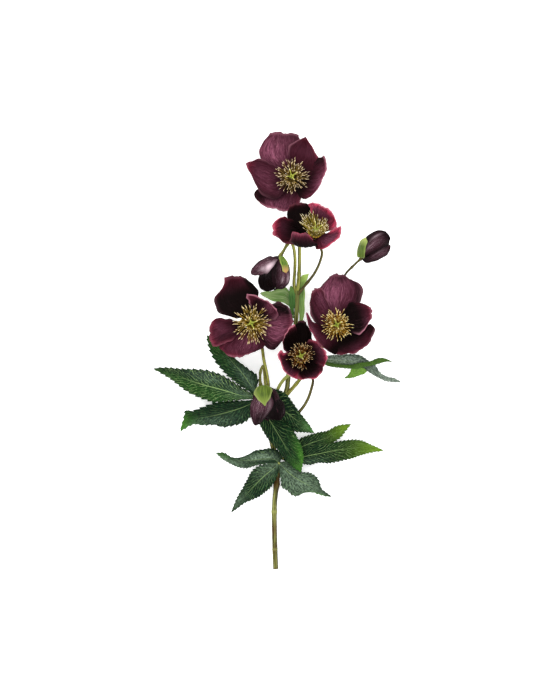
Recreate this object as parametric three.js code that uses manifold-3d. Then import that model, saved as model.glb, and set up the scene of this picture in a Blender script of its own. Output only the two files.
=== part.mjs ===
// A cut spray of dark hellebore lying on its back on a table: stem, stalks, five open flowers, three
// nodding buds, four palmate leaves and three bract leaves.  Millimetres, +Z up.  The cut end of the stem
// points along -Y, the flowers along +Y, and the flowers look up along +Z.
import * as THREE from 'three';
import Module from 'manifold-3d';
import { mergeVertices } from 'three/addons/utils/BufferGeometryUtils.js';

const wasm = await Module();
wasm.setup();

// Driving dimensions
const SEAT_GAP = 0.32;          // clearance between a piece and the one that carries it
const TABLE_CLEARANCE = 0.5;    // lowest height of a blade's middle surface above the table
const SEPAL_THICKNESS = 0.8;
const LEAF_THICKNESS = 0.9;
const BRACT_THICKNESS = 0.75;
const RECEPTACLE_RADIUS = 6;
const CLAW_RADIUS = 4.5;        // where a sepal starts, measured from the flower's axis
const CLAW_WIDTH = 4.6;
const CLAW_LENGTH = 2.3;         // flat part of a sepal, lying on the receptacle
const STAMEN_DOME_RADIUS = 4;
const STAMEN_DOME_HEIGHT = 2.2;
const FILAMENT_RADIUS = 0.4;
const STAMEN_COUNT = 16;
const CARPEL_DOME_RADIUS = 1.6;
const CARPEL_DOME_HEIGHT = 5;
const STYLE_COUNT = 4;
const STEM_RADIUS_CUT = 2.5;
const STEM_RADIUS_TOP = 1.9;
const FLOWER_STALK_RADIUS = 1.35;
const BUD_STALK_RADIUS = 1.05;
const PETIOLE_RADIUS = 1.5;

const vec = (x, y, z) => new THREE.Vector3(x, y, z);
const degrees = (angle) => THREE.MathUtils.degToRad(angle);

// One finish for each kind of tissue
const FINISHES = {
  stem: { color: 0x7c7a35, roughness: 0.55 },
  sepal: { color: 0x45182a, roughness: 0.7 },
  stamens: { color: 0xc8a850, roughness: 0.6 },
  carpels: { color: 0xa8b83a, roughness: 0.55 },
  bud: { color: 0x3c1830, roughness: 0.6 },
  bract: { color: 0x6fa035, roughness: 0.6 },
  leaf: { color: 0x234f2c, roughness: 0.4 },
};

const spray = new THREE.Group();

function addPiece(name, geometry, finish) {
  const material = new THREE.MeshStandardMaterial({ ...FINISHES[finish], metalness: 0 });
  const mesh = new THREE.Mesh(geometry, material);
  mesh.name = name;
  spray.add(mesh);
}

// Solids for joining and trimming
function toSolid(geometry) {
  const bare = geometry.clone();
  bare.deleteAttribute('normal');
  bare.deleteAttribute('uv');
  const merged = mergeVertices(bare, 1e-4);
  const mesh = new wasm.Mesh({
    numProp: 3,
    vertProperties: new Float32Array(merged.attributes.position.array),
    triVerts: new Uint32Array(merged.index.array),
  });
  return new wasm.Manifold(mesh);
}

function toGeometry(solid) {
  const mesh = solid.getMesh();
  const geometry = new THREE.BufferGeometry();
  geometry.setAttribute('position', new THREE.BufferAttribute(mesh.vertProperties, 3));
  geometry.setIndex(new THREE.BufferAttribute(mesh.triVerts, 1));
  return geometry;
}

function largestPiece(solid) {
  const pieces = solid.decompose();
  return pieces.reduce((best, piece) => (piece.volume() > best.volume() ? piece : best));
}

// Closed surface over rings of points: each ring has the same count, and both ends are capped
function loftRings(rings) {
  const count = rings[0].length;
  const positions = rings.flat().flatMap((point) => point.toArray());
  const ends = [rings[0], rings.at(-1)];
  for (const ring of ends) {
    const centre = ring.reduce((sum, point) => sum.add(point), vec(0, 0, 0));
    positions.push(...centre.divideScalar(count).toArray());
  }
  const startCentre = rings.length * count;
  const endCentre = startCentre + 1;
  const lastRing = (rings.length - 1) * count;
  const faces = [];
  for (let i = 0; i < count; i++) {
    const next = (i + 1) % count;
    for (let r = 0; r < rings.length - 1; r++) {
      const a = r * count + i;
      const b = r * count + next;
      faces.push(a, b, b + count, a, b + count, a + count);
    }
    faces.push(startCentre, next, i);
    faces.push(endCentre, lastRing + i, lastRing + next);
  }
  const geometry = new THREE.BufferGeometry();
  geometry.setAttribute('position', new THREE.Float32BufferAttribute(positions, 3));
  geometry.setIndex(faces);
  return geometry;
}

// Round stalk along a curve; radiusAt takes the distance travelled and the distance left
function stalkGeometry(points, radiusAt, { sides = 8, step = 7, endStations = [] } = {}) {
  const curve = new THREE.CatmullRomCurve3(points, false, 'centripetal');
  const length = curve.getLength();
  const plainEnd = length - (endStations[0] ?? 0);
  const steps = Math.max(2, Math.round(plainEnd / step));
  const stations = [];
  for (let i = 0; i <= steps; i++) {
    stations.push((plainEnd * i) / steps);
  }
  for (const left of endStations.slice(1)) {
    stations.push(length - left);
  }
  let side = vec(1, 0, 0);
  const rings = stations.map((travelled) => {
    const u = Math.min(travelled / length, 1);
    const centre = curve.getPointAt(u);
    const tangent = curve.getTangentAt(u);
    side = side.clone().addScaledVector(tangent, -side.dot(tangent)).normalize();
    const other = vec(0, 0, 0).crossVectors(tangent, side);
    const radius = radiusAt(travelled, length - travelled);
    const ring = [];
    for (let i = 0; i < sides; i++) {
      const angle = (2 * Math.PI * i) / sides;
      const point = centre.clone().addScaledVector(side, radius * Math.cos(angle));
      ring.push(point.addScaledVector(other, radius * Math.sin(angle)));
    }
    return ring;
  });
  return loftRings(rings);
}

// Thin closed blade around a middle surface (u along, v across from -1 to 1)
function bladeGeometry(surface, { alongSteps, acrossSteps, thickness }) {
  const positions = [];
  const nudge = 1e-3;
  for (const face of [1, -1]) {
    for (let i = 0; i <= alongSteps; i++) {
      const u = Math.sin((i / alongSteps) * Math.PI / 2);
      for (let j = 0; j <= acrossSteps; j++) {
        const v = (2 * j) / acrossSteps - 1;
        const along = surface(Math.min(u + nudge, 1), v).sub(surface(Math.max(u - nudge, 0), v));
        const nearU = Math.min(u, 0.98);
        const nearV = THREE.MathUtils.clamp(v, -0.9, 0.9);
        const across = surface(nearU, nearV + 0.1).sub(surface(nearU, nearV - 0.1));
        const normal = vec(0, 0, 0).crossVectors(along, across);
        const point = surface(u, v).addScaledVector(normal.normalize(), (face * thickness) / 2);
        positions.push(point.x, point.y, point.z);
      }
    }
  }
  const row = acrossSteps + 1;
  const sheet = (alongSteps + 1) * row;
  const faces = [];
  const quad = (a, b, c, d) => faces.push(a, b, c, a, c, d);
  for (let i = 0; i < alongSteps; i++) {
    for (let j = 0; j < acrossSteps; j++) {
      const a = i * row + j;
      quad(a, a + row, a + row + 1, a + 1);
      quad(sheet + a, sheet + a + 1, sheet + a + row + 1, sheet + a + row);
    }
    const left = i * row;
    const right = left + acrossSteps;
    quad(left, sheet + left, sheet + left + row, left + row);
    quad(right, right + row, sheet + right + row, sheet + right);
  }
  const last = alongSteps * row;
  for (let j = 0; j < acrossSteps; j++) {
    quad(j, j + 1, sheet + j + 1, sheet + j);
    quad(last + j, sheet + last + j, sheet + last + j + 1, last + j + 1);
  }
  const geometry = new THREE.BufferGeometry();
  geometry.setAttribute('position', new THREE.Float32BufferAttribute(positions, 3));
  geometry.setIndex(faces);
  return geometry;
}

// Middle surface of a blade: a spine, a width, a hollow across, lifted or dropped edges, and a bias that
// makes one side wider than the other
function bladeSurface(blade) {
  const { points, across, halfWidth, hollow, leftLift = 0, rightLift = 0, bias = 0 } = blade;
  const curve = new THREE.CatmullRomCurve3(points, false, 'centripetal');
  const bend = Math.max(...[0.3, 0.4, 0.5, 0.6, 0.7].map(halfWidth)) / hollow;
  return (u, v) => {
    const point = curve.getPointAt(u);
    const tangent = curve.getTangentAt(u);
    const side = across.clone().addScaledVector(tangent, -across.dot(tangent)).normalize();
    const normal = vec(0, 0, 0).crossVectors(tangent, side);
    const reach = halfWidth(u) * (v + bias * v * v);
    const grown = THREE.MathUtils.smoothstep(u, 0.12, 0.45);
    const lift = (v > 0 ? leftLift : rightLift) * v * v * grown;
    point.addScaledVector(side, bend * Math.sin(reach / bend));
    point.addScaledVector(normal, bend * (1 - Math.cos(reach / bend)) + lift);
    point.z = Math.max(point.z, TABLE_CLEARANCE);
    return point;
  };
}

// Main stem, from the cut end to the upper node
const STEM_PATH = [
  vec(-2.2, -197.5, 2.5), vec(-3.1, -170.5, 2.6), vec(-3.2, -139, 3.4), vec(-1.1, -118.4, 6),
  vec(0.3, -103, 8), vec(-5, -85, 9), vec(-7.2, -67, 10), vec(-3, -50, 11.5), vec(7, -38, 13),
  vec(9.5, -22, 15), vec(13.5, 2, 17), vec(16.2, 26.5, 18.5), vec(17.4, 54, 20),
];
const stemRadius = (travelled, left) =>
  THREE.MathUtils.lerp(STEM_RADIUS_CUT, STEM_RADIUS_TOP, travelled / (travelled + left));
const stemShape = (points, extra) =>
  stalkGeometry(points, (travelled, left) => stemRadius(travelled, left) + extra, { sides: 10, step: 11 });
addPiece('main_stem', stemShape(STEM_PATH, 0), 'stem');

// The stem with its seat gap all round, and a little past its upper end
const stemEnd = STEM_PATH.at(-1);
const pastEnd = stemEnd.clone().sub(STEM_PATH.at(-2)).setLength(SEAT_GAP).add(stemEnd);
const nearEnd = stemEnd.clone().lerp(STEM_PATH.at(-2), 0.3);
const stemTop = toSolid(stalkGeometry([nearEnd, pastEnd], () => STEM_RADIUS_TOP + SEAT_GAP, { sides: 10 }));
const stemEnvelope = toSolid(stemShape(STEM_PATH, SEAT_GAP)).add(stemTop);

// Joins that start inside their carrier are trimmed back to its surface plus the seat gap
function seatOn(envelope, geometry) {
  return toGeometry(largestPiece(toSolid(geometry).subtract(envelope)));
}

// Flowers: centre is the top of the receptacle, facing is the flower's axis, and turn is the first sepal's
// direction around it.  Each sepal is given by its tip, seen from the centre, and its width.
const FLOWERS = [
  {
    centre: vec(12.2, 155.3, 17), facing: vec(0.02, 0.22, 1), stamenReach: 15, spread: 62,
    stalk: [vec(17.4, 53, 20), vec(18.6, 63, 21.5), vec(19.3, 79, 22), vec(19.3, 92, 21),
      vec(18, 113, 16), vec(15.3, 135, 9)],
    hook: 9,
    sepals: [
      { turn: 108, tip: [-10, 41, -15.2], width: 42, sag: 1.5, hollow: 0.25, left: -1.3, right: -1.4 },
      { turn: 36, tip: [19, 33, 3], width: 33, sag: 4, hollow: 0.4, left: 1.6, right: 4.6 },
      { turn: 324, tip: [29, 0, 21], width: 37, bias: 0.1, sag: 8, hollow: 0.4, left: -4, right: -1.4 },
      { turn: 180, tip: [-41, 8, 2], width: 31, sag: 4, hollow: 0.35, left: 1.4, right: 1.6 },
      { turn: 252, tip: [-19, -29, 7], width: 37, sag: 5, hollow: 0.4, left: 1.2, right: -2 },
    ],
  },
  {
    centre: vec(32, 104, 36), facing: vec(0.25, 0.6, 0.76), stamenReach: 14, spread: 50,
    stalk: [vec(17, 49, 20), vec(23.8, 58, 22), vec(32.5, 69, 23.5), vec(37.8, 80, 23.5),
      vec(39.5, 89, 23), vec(35.5, 95.5, 24)],
    hook: 7,
    sepals: [
      { turn: 132, tip: [-16.4, 27, -3], width: 32, sag: 6, hollow: 0.5, left: 2, right: -1.2 },
      { turn: 60, tip: [12, 27, 0], width: 34, sag: 7, hollow: 0.5, left: 1.4, right: 1.4 },
      { turn: 348, tip: [26, 4, 20], width: 30, sag: 7, hollow: 0.5, left: -1.4, right: -1.4 },
      { turn: 276, tip: [-7, -3, 30], width: 34, sag: 9, hollow: 0.5, left: 1.4, right: 1.4 },
      { turn: 204, tip: [-36, 4, 13], width: 30, sag: 5, hollow: 0.45, left: -1.4, right: -2 },
    ],
  },
  {
    centre: vec(-24, 24.8, 28), facing: vec(0.02, -0.03, 1), stamenReach: 16, spread: 68,
    stalk: [vec(-5, -55, 11), vec(-9, -44, 15.5), vec(-8.6, -32, 17), vec(-10, -22, 18),
      vec(-12.8, -8, 18), vec(-15.5, 8, 17)],
    hook: 11,
    sepals: [
      { turn: 112, tip: [-20, 41, 3], width: 43, sag: 4, hollow: 0.3, left: 1.3, right: -1.4 },
      { turn: 40, tip: [17.2, 22, 16], width: 32, sag: 6, hollow: 0.5, left: 1.5, right: 2.8 },
      { turn: 328, tip: [36.2, -2, 8], width: 38, sag: 5, hollow: 0.4, left: -2.6, right: -1.4 },
      { turn: 256, tip: [-11.8, -30, 7], width: 37, sag: 5, hollow: 0.4, left: 1.4, right: 2.6 },
      { turn: 184, tip: [-38.5, -13, 5], width: 28, sag: 4, hollow: 0.35, left: -2, right: -1.4 },
    ],
  },
  {
    centre: vec(20.7, -6.4, 39), facing: vec(0, 0.24, 0.97), stamenReach: 12, spread: 52,
    stalk: [vec(-7, -72, 10), vec(3, -66, 9), vec(19.3, -55, 11), vec(26.5, -44.5, 15),
      vec(30, -34.5, 18), vec(31.4, -26.2, 20), vec(27, -18, 22)],
    hook: 9,
    sepals: [
      { turn: 90, tip: [2, 31.5, 14], width: 22, sag: 7, hollow: 0.5, left: -1.4, right: -1.4 },
      { turn: 162, tip: [-14, 19, 22], width: 26, sag: 8, hollow: 0.5, left: 1.4, right: 1.4 },
      { turn: 234, tip: [-13, -9, 28], width: 27, sag: 9, hollow: 0.6, left: -2.4, right: -1.4 },
      { turn: 306, tip: [10, -14, 29], width: 27, sag: 9, hollow: 0.6, left: 2, right: 2.4 },
      { turn: 18, tip: [21, 1, 25], width: 21, sag: 8, hollow: 0.6, left: 1.2, right: -2 },
    ],
  },
  {
    centre: vec(53.1, 22, 32), facing: vec(-0.05, 0.15, 1), stamenReach: 14, spread: 58,
    stalk: [vec(6, -42, 13), vec(20.7, -24.7, 17), vec(35, -3, 20), vec(46, 10, 19)],
    hook: 11,
    sepals: [
      { turn: 90, tip: [4, 44.5, 0], width: 40, sag: 4, hollow: 0.3, left: -1.4, right: -1.4 },
      { turn: 162, tip: [-21, 26, 10], width: 30, sag: 6, hollow: 0.45, left: 1.4, right: 1.4 },
      { turn: 234, tip: [-12, -16, 25], width: 24, sag: 9, hollow: 0.5, left: -1.4, right: -1.4 },
      { turn: 306, tip: [19, -21.5, 17], width: 38, sag: 8, hollow: 0.5, left: -2.4, right: 1.4 },
      { turn: 18, tip: [32, 11, 13], width: 34, sag: 6, hollow: 0.45, left: 1.4, right: 2.4 },
    ],
  },
];

// Right-handed frame of a flower: columns are two directions across it and its axis
function flowerFrame({ facing, centre }) {
  const axis = facing.clone().normalize();
  const first = vec(1, 0, 0).addScaledVector(axis, -axis.x).normalize();
  const second = vec(0, 0, 0).crossVectors(axis, first);
  return { axis, first, second, centre };
}

const around = (frame, angle) =>
  frame.first.clone().multiplyScalar(Math.cos(angle)).addScaledVector(frame.second, Math.sin(angle));

// Sepal outline: a narrow claw, widest past the middle, with a blunt rounded end
const sepalHalfWidth = (width) => (u) => {
  const swell = Math.sin(Math.PI * Math.min(u ** 1.25, 0.994));
  return (CLAW_WIDTH / 2) * (1 - u) + (width / 2) * swell ** (1.6 - 1.05 * u);
};

function sepalBlade(frame, sepal) {
  const radial = around(frame, degrees(sepal.turn));
  const height = SEAT_GAP + SEPAL_THICKNESS / 2;
  const claw = frame.centre.clone().addScaledVector(radial, CLAW_RADIUS).addScaledVector(frame.axis, height);
  const clawEnd = claw.clone().addScaledVector(radial, CLAW_LENGTH);
  const tip = frame.centre.clone().add(vec(...sepal.tip));
  const chord = tip.clone().sub(claw).normalize();
  const across = vec(0, 0, 0).crossVectors(frame.axis, chord.clone().add(radial)).normalize();
  const normal = vec(0, 0, 0).crossVectors(chord, across).normalize();
  const middle = clawEnd.clone().lerp(tip, 0.5).addScaledVector(normal, -sepal.sag);
  return {
    points: [claw, clawEnd, middle, tip],
    across,
    halfWidth: sepalHalfWidth(sepal.width),
    hollow: sepal.hollow,
    leftLift: sepal.left,
    rightLift: sepal.right,
    bias: sepal.bias,
  };
}

// Stalk with the receptacle, the flat swollen top that carries the flower
function flowerStalk(frame, flower, extra = 0) {
  const below = (distance) => frame.centre.clone().addScaledVector(frame.axis, -distance);
  const points = [...flower.stalk, below(flower.hook), below(flower.hook / 2), below(0)];
  const flare = [5, 3.4, 2.2, 1.2, 0];
  const flareRadii = [FLOWER_STALK_RADIUS, 2, 3.6, 5.4, RECEPTACLE_RADIUS];
  const radiusAt = (travelled, left) =>
    flareRadii[flare.findIndex((distance) => left >= distance - 1e-6)] + extra;
  return stalkGeometry(points, radiusAt, { endStations: flare });
}

// Straight tapering needle from start to end, used for filaments and styles
function needle(start, end, radius) {
  const direction = end.clone().sub(start).normalize();
  const side = vec(0.31, 0.17, 0.93).cross(direction).normalize();
  const other = vec(0, 0, 0).crossVectors(direction, side);
  const ring = (centre, size) => [0, 1, 2].map((i) => {
    const angle = (2 * Math.PI * i) / 3;
    const point = centre.clone().addScaledVector(side, size * Math.cos(angle));
    return point.addScaledVector(other, size * Math.sin(angle));
  });
  return toSolid(loftRings([ring(start, radius), ring(end, radius * 0.8)]));
}

// Low dome on the flower's axis, starting at a height above the receptacle
function domeSolid(frame, radius, bottom, height) {
  const profile = [[0, 0], [1, 0], [1, 0.4], [0.7, 0.9], [0, 1]];
  const points = profile.map(([r, h]) => new THREE.Vector2(r * radius, h * height));
  const geometry = new THREE.LatheGeometry(points, 12);
  geometry.rotateX(Math.PI / 2);
  const basis = new THREE.Matrix4().makeBasis(frame.first, frame.second, frame.axis);
  geometry.applyMatrix4(basis.setPosition(frame.centre.clone().addScaledVector(frame.axis, bottom)));
  return toSolid(geometry);
}

// Ring of stamens: a low dome that carries filaments leaning outwards
function stamenRing(frame, flower) {
  let ring = domeSolid(frame, STAMEN_DOME_RADIUS, SEAT_GAP, STAMEN_DOME_HEIGHT);
  for (let i = 0; i < STAMEN_COUNT; i++) {
    const angle = (2 * Math.PI * i) / STAMEN_COUNT;
    const lean = degrees(i % 2 === 0 ? flower.spread : flower.spread * 0.55);
    const direction = around(frame, angle).multiplyScalar(Math.sin(lean));
    direction.addScaledVector(frame.axis, Math.cos(lean));
    const start = frame.centre.clone().addScaledVector(around(frame, angle), STAMEN_DOME_RADIUS * 0.66);
    start.addScaledVector(frame.axis, SEAT_GAP + STAMEN_DOME_HEIGHT * 0.6);
    const end = start.clone().addScaledVector(direction, flower.stamenReach);
    ring = ring.add(needle(start, end, FILAMENT_RADIUS));
  }
  return toGeometry(ring);
}

// Carpels: a small upright cluster in the middle, with styles that spread at the top
function carpelCluster(frame, flower) {
  const seat = SEAT_GAP * 2 + STAMEN_DOME_HEIGHT;
  const reach = flower.stamenReach * 0.8;
  let cluster = domeSolid(frame, CARPEL_DOME_RADIUS, seat, CARPEL_DOME_HEIGHT);
  const start = frame.centre.clone().addScaledVector(frame.axis, seat + CARPEL_DOME_HEIGHT * 0.4);
  for (let i = 0; i < STYLE_COUNT; i++) {
    const angle = (2 * Math.PI * (i + 0.25)) / STYLE_COUNT;
    const direction = around(frame, angle).multiplyScalar(0.35).add(frame.axis);
    const end = start.clone().addScaledVector(direction, reach);
    cluster = cluster.add(needle(start, end, FILAMENT_RADIUS));
  }
  return toGeometry(cluster);
}

const flowerStalkEnvelopes = [];
FLOWERS.forEach((flower, index) => {
  const name = `flower_${index + 1}`;
  const frame = flowerFrame(flower);
  addPiece(`${name}_stalk`, seatOn(stemEnvelope, flowerStalk(frame, flower)), 'stem');
  flower.sepals.forEach((sepal, place) => {
    const surface = bladeSurface(sepalBlade(frame, sepal));
    const shape = { alongSteps: 7, acrossSteps: 4, thickness: SEPAL_THICKNESS };
    addPiece(`${name}_sepal_${place + 1}`, bladeGeometry(surface, shape), 'sepal');
  });
  addPiece(`${name}_stamens`, stamenRing(frame, flower), 'stamens');
  addPiece(`${name}_carpels`, carpelCluster(frame, flower), 'carpels');
  flowerStalkEnvelopes.push(toSolid(flowerStalk(frame, flower, SEAT_GAP)));
});

// Buds: closed and nodding, each on its own stalk with one bract at the neck
const BUDS = [
  {
    neck: vec(2.3, 85, 31), axis: vec(-0.3, -0.94, -0.05), length: 32, radius: 13.5,
    stalk: [vec(15.5, 50, 19), vec(14.4, 60, 20.5), vec(15, 72, 22), vec(15.2, 83, 23.5),
      vec(13.8, 93, 26), vec(11.3, 98, 28.5), vec(8.6, 95.5, 30), vec(5, 89.6, 31)],
    carrier: stemEnvelope,
    bract: { side: [0.45, 0, 0.9], width: 8.5 },
  },
  {
    neck: vec(75, 83, 19), axis: vec(0.78, 0.63, 0.05), length: 31, radius: 12.5,
    stalk: [vec(38, 0, 19), vec(42, 14, 12.5), vec(52, 44, 12), vec(60.3, 68, 14),
      vec(68, 76.5, 17.5)],
    carrier: flowerStalkEnvelopes[4],
    bract: { side: [-0.6, 0.62, 0.5], width: 15 },
  },
  {
    neck: vec(-15.5, -31, 37.5), axis: vec(0.32, -0.94, -0.04), length: 34, radius: 13.2,
    stalk: [vec(-8.7, -38, 16.5), vec(-11.3, -31, 22), vec(-12.4, -20, 29), vec(-13.6, -13.8, 33),
      vec(-15.6, -18.5, 35.5), vec(-16, -26, 37)],
    carrier: flowerStalkEnvelopes[2],
    bract: { side: [0, 0.3, 0.95], width: 15 },
  },
];

// Bud outline: radius share at a share of its length
const budProfile = (s) => Math.sin(Math.PI * s ** 0.8) ** 0.75;

function budBody({ neck, axis, length, radius }) {
  const profile = [new THREE.Vector2(0, 0)];
  for (let i = 1; i < 9; i++) {
    profile.push(new THREE.Vector2(radius * budProfile(i / 9), (length * i) / 9));
  }
  profile.push(new THREE.Vector2(0, length));
  const geometry = new THREE.LatheGeometry(profile, 14);
  geometry.rotateX(Math.PI / 2);
  const turn = new THREE.Quaternion().setFromUnitVectors(vec(0, 0, 1), axis.clone().normalize());
  geometry.applyQuaternion(turn);
  const start = neck.clone().addScaledVector(axis.clone().normalize(), SEAT_GAP);
  geometry.translate(start.x, start.y, start.z);
  return geometry;
}

// Bract that stands a little off the bud's side, from its neck to its widest part
function budBract({ neck, bract, axis, length, radius }) {
  const along = axis.clone().normalize();
  const side = vec(...bract.side).projectOnPlane(along).normalize();
  const at = (s, clearance) => neck.clone().addScaledVector(along, SEAT_GAP + s * length)
    .addScaledVector(side, radius * budProfile(s) + clearance);
  return {
    points: [at(0.03, 1), at(0.14, 1.7), at(0.28, 2), at(0.46, 2.1)],
    across: vec(0, 0, 0).crossVectors(side, along),
    halfWidth: (u) => 1 + (bract.width / 2) * Math.sin(Math.PI * Math.min(u ** 0.9, 0.99)) ** 0.8,
    hollow: -0.35,
  };
}

BUDS.forEach((bud, index) => {
  const name = `bud_${index + 1}`;
  const stalk = stalkGeometry([...bud.stalk, bud.neck], () => BUD_STALK_RADIUS, { step: 5 });
  addPiece(`${name}_stalk`, seatOn(bud.carrier, stalk), 'stem');
  addPiece(name, budBody(bud), 'bud');
  const shape = { alongSteps: 6, acrossSteps: 4, thickness: BRACT_THICKNESS };
  addPiece(`${name}_bract`, bladeGeometry(bladeSurface(budBract(bud)), shape), 'bract');
});

// Leaves: a petiole and the leaflets that spread from its end, grown as one piece
const LEAVES = [
  {
    petiole: [vec(-7, -69, 9.8), vec(-12.5, -58, 13), vec(-17, -43, 19)],
    leaflets: [
      { middle: [-67, -30, 13], tip: [-112, -16, 0.6], width: 25 },
      { middle: [-39, -16, 17], tip: [-63, 13, 13], width: 22 },
      { middle: [-51, -55, 12], tip: [-87, -66, 2], width: 24 },
      { middle: [8.4, -56, 20.5], tip: [31.3, -74, 13], width: 18 },
      { middle: [5, -79, 24], tip: [21.6, -108.5, 15], width: 28 },
    ],
  },
  {
    petiole: [vec(-3.5, -92, 8.7), vec(1, -95, 8.5), vec(5, -98, 8)],
    leaflets: [
      { middle: [34, -83, 9], tip: [65, -67, 4], width: 16 },
      { middle: [51, -91, 7], tip: [94.5, -90.5, 0.6], width: 20 },
    ],
  },
  {
    petiole: [vec(0.3, -107, 7.4), vec(0, -103, 11), vec(1.5, -101, 14.5)],
    leaflets: [
      { middle: [-29, -98.5, 13.5], tip: [-55, -92, 5], width: 14 },
      { middle: [-18, -122, 12], tip: [-42, -145.5, 0.6], width: 20 },
      { middle: [19.5, -119, 11], tip: [47.5, -131.5, 0.6], width: 24 },
    ],
  },
  {
    petiole: [vec(2, -45, 12), vec(-1, -38, 17), vec(3, -29, 19.5), vec(8, -23.5, 20),
      vec(20, -14.5, 16), vec(30, -9, 13.5), vec(37, -7.5, 13)],
    leaflets: [
      { middle: [72, -9.5, 12], tip: [110.5, -28.5, 0.6], width: 13 },
      { middle: [74, -14, 10.5], tip: [101.5, -9.5, 6], width: 9 },
      { middle: [62, -17, 8], tip: [61, -25, 5], width: 8 },
    ],
  },
];

// Leaflet outline: widest before the middle, with a long point
const leafletHalfWidth = (width) => (u) =>
  1 - 0.8 * u + (width / 2) * Math.sin(Math.PI * Math.min(u ** 0.92, 0.99));

function leafletBlade(start, { middle, tip, width }) {
  const spine = [start.clone(), vec(...middle), vec(...tip)];
  const chord = spine[2].clone().sub(spine[0]).normalize();
  const across = vec(0, 0, 0).crossVectors(vec(0, 0, 1), chord).normalize();
  return { points: spine, across, halfWidth: leafletHalfWidth(width), hollow: -0.25 };
}

LEAVES.forEach(({ petiole, leaflets }, index) => {
  let leaf = toSolid(stalkGeometry(petiole, () => PETIOLE_RADIUS, { step: 5 }));
  const shape = { alongSteps: 8, acrossSteps: 4, thickness: LEAF_THICKNESS };
  for (const leaflet of leaflets) {
    const surface = bladeSurface(leafletBlade(petiole.at(-1), leaflet));
    leaf = leaf.add(toSolid(bladeGeometry(surface, shape)));
  }
  addPiece(`leaf_${index + 1}`, toGeometry(largestPiece(leaf.subtract(stemEnvelope))), 'leaf');
});

// Bract leaves around the upper node
const BRACT_LEAVES = [
  { side: 'left', start: [13, 24, 17], middle: [5, 43, 17], tip: [-13.5, 50.8, 16], width: 14 },
  { side: 'middle', start: [13.6, 32, 21], middle: [10.5, 45, 22], tip: [9, 58, 22], width: 8 },
  { side: 'right', start: [19.5, 22, 17.5], middle: [22.5, 45, 17], tip: [27.5, 68, 18], width: 9 },
];
for (const bract of BRACT_LEAVES) {
  const surface = bladeSurface(leafletBlade(vec(...bract.start), bract));
  const blade = bladeGeometry(surface, { alongSteps: 8, acrossSteps: 4, thickness: BRACT_THICKNESS });
  addPiece(`bract_leaf_${bract.side}`, seatOn(stemEnvelope, blade), 'bract');
}

export default spray;
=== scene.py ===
import math
import random

import bpy
import numpy as np
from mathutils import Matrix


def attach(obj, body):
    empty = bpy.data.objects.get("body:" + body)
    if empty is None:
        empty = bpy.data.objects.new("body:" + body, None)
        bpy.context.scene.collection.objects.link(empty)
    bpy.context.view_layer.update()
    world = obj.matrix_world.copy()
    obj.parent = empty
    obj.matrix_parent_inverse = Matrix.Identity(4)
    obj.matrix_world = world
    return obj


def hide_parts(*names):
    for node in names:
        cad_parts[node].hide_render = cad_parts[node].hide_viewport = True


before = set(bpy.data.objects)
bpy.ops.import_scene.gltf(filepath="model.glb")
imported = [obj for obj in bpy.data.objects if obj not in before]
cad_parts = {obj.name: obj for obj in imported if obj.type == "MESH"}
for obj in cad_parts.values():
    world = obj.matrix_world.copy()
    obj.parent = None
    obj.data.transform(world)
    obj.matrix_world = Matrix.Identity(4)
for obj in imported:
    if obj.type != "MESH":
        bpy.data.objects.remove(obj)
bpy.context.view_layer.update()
bpy.ops.object.select_all(action="DESELECT")
MM = 0.001


# --------------------------------------------------------------------------------------------------
# Main stem.  A green herbaceous stem about 5 mm thick, cut straight through at its lower end.  It is
# slightly ribbed, swells a little at each old leaf joint, and is brown where the lowest leaf forks off.
# --------------------------------------------------------------------------------------------------
STEM_PATH = [
    (-2.2, -197.5, 2.5), (-3.1, -170.5, 2.6), (-3.2, -139, 3.4), (-1.1, -118.4, 6), (0.3, -103, 8),
    (-5, -85, 9), (-7.2, -67, 10), (-3, -50, 11.5), (7, -38, 13), (9.5, -22, 15), (13.5, 2, 17),
    (16.2, 26.5, 18.5), (17.4, 54, 20),
]
STEM_RADIUS = (2.35, 2.05)  # at the cut end and at the top, in mm
STEM_SIDES = 24
STEM_RIBS = (5, 0.1)        # how many there are and how far they stand out, in mm
# along the stem, in mm from its cut end: (at, strength, spread)
STEM_JOINTS = [(18, 0.25, 1.2), (52, 0.45, 1.6), (77, 0.9, 3.5), (96, 0.5, 2.5), (150, 0.5, 3)]
PALE_RINGS = [(18, 0.5, 1), (52, 0.8, 1.2), (57, 0.4, 0.8)]
BROWN_SCARS = [(0, 0.6, 1.5), (8, 0.3, 6), (36, 0.7, 8), (80, 0.9, 9), (96, 0.4, 4)]
UV_UNIT = 10                # mm of stem to one unit of its UV map
SEAM_GAP = 0.00001


def linear(hex_colour):
    """A colour given as sRGB hex, as the linear values that Blender works in."""
    values = [int(hex_colour[i:i + 2], 16) / 255 for i in (1, 3, 5)]
    return [v / 12.92 if v <= 0.04045 else ((v + 0.055) / 1.055) ** 2.4 for v in values] + [1]


def add_node(tree, kind, inputs=None, output=0, **settings):
    """Adds a shader node and gives an output.  An input is a value, a hex colour or the output to link."""
    new = tree.nodes.new("ShaderNode" + kind)
    for setting, value in settings.items():
        setattr(new, setting, value)
    for name, value in (inputs or {}).items():
        if isinstance(value, bpy.types.NodeSocket):
            tree.links.new(value, new.inputs[name])
        else:
            new.inputs[name].default_value = linear(value) if isinstance(value, str) else value
    return new.outputs[output]


def new_material(name):
    """A material, its node tree and its shader."""
    material = bpy.data.materials.new(name)
    material.use_nodes = True
    return material, material.node_tree, material.node_tree.nodes["Principled BSDF"]


def layered(tree, colour, layers):
    """A colour with others laid over it in turn, each by its own amount."""
    for amount, other in layers:
        colour = add_node(tree, "Mix", {0: amount, 6: colour, 7: other}, 2, data_type="RGBA")
    return colour


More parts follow.
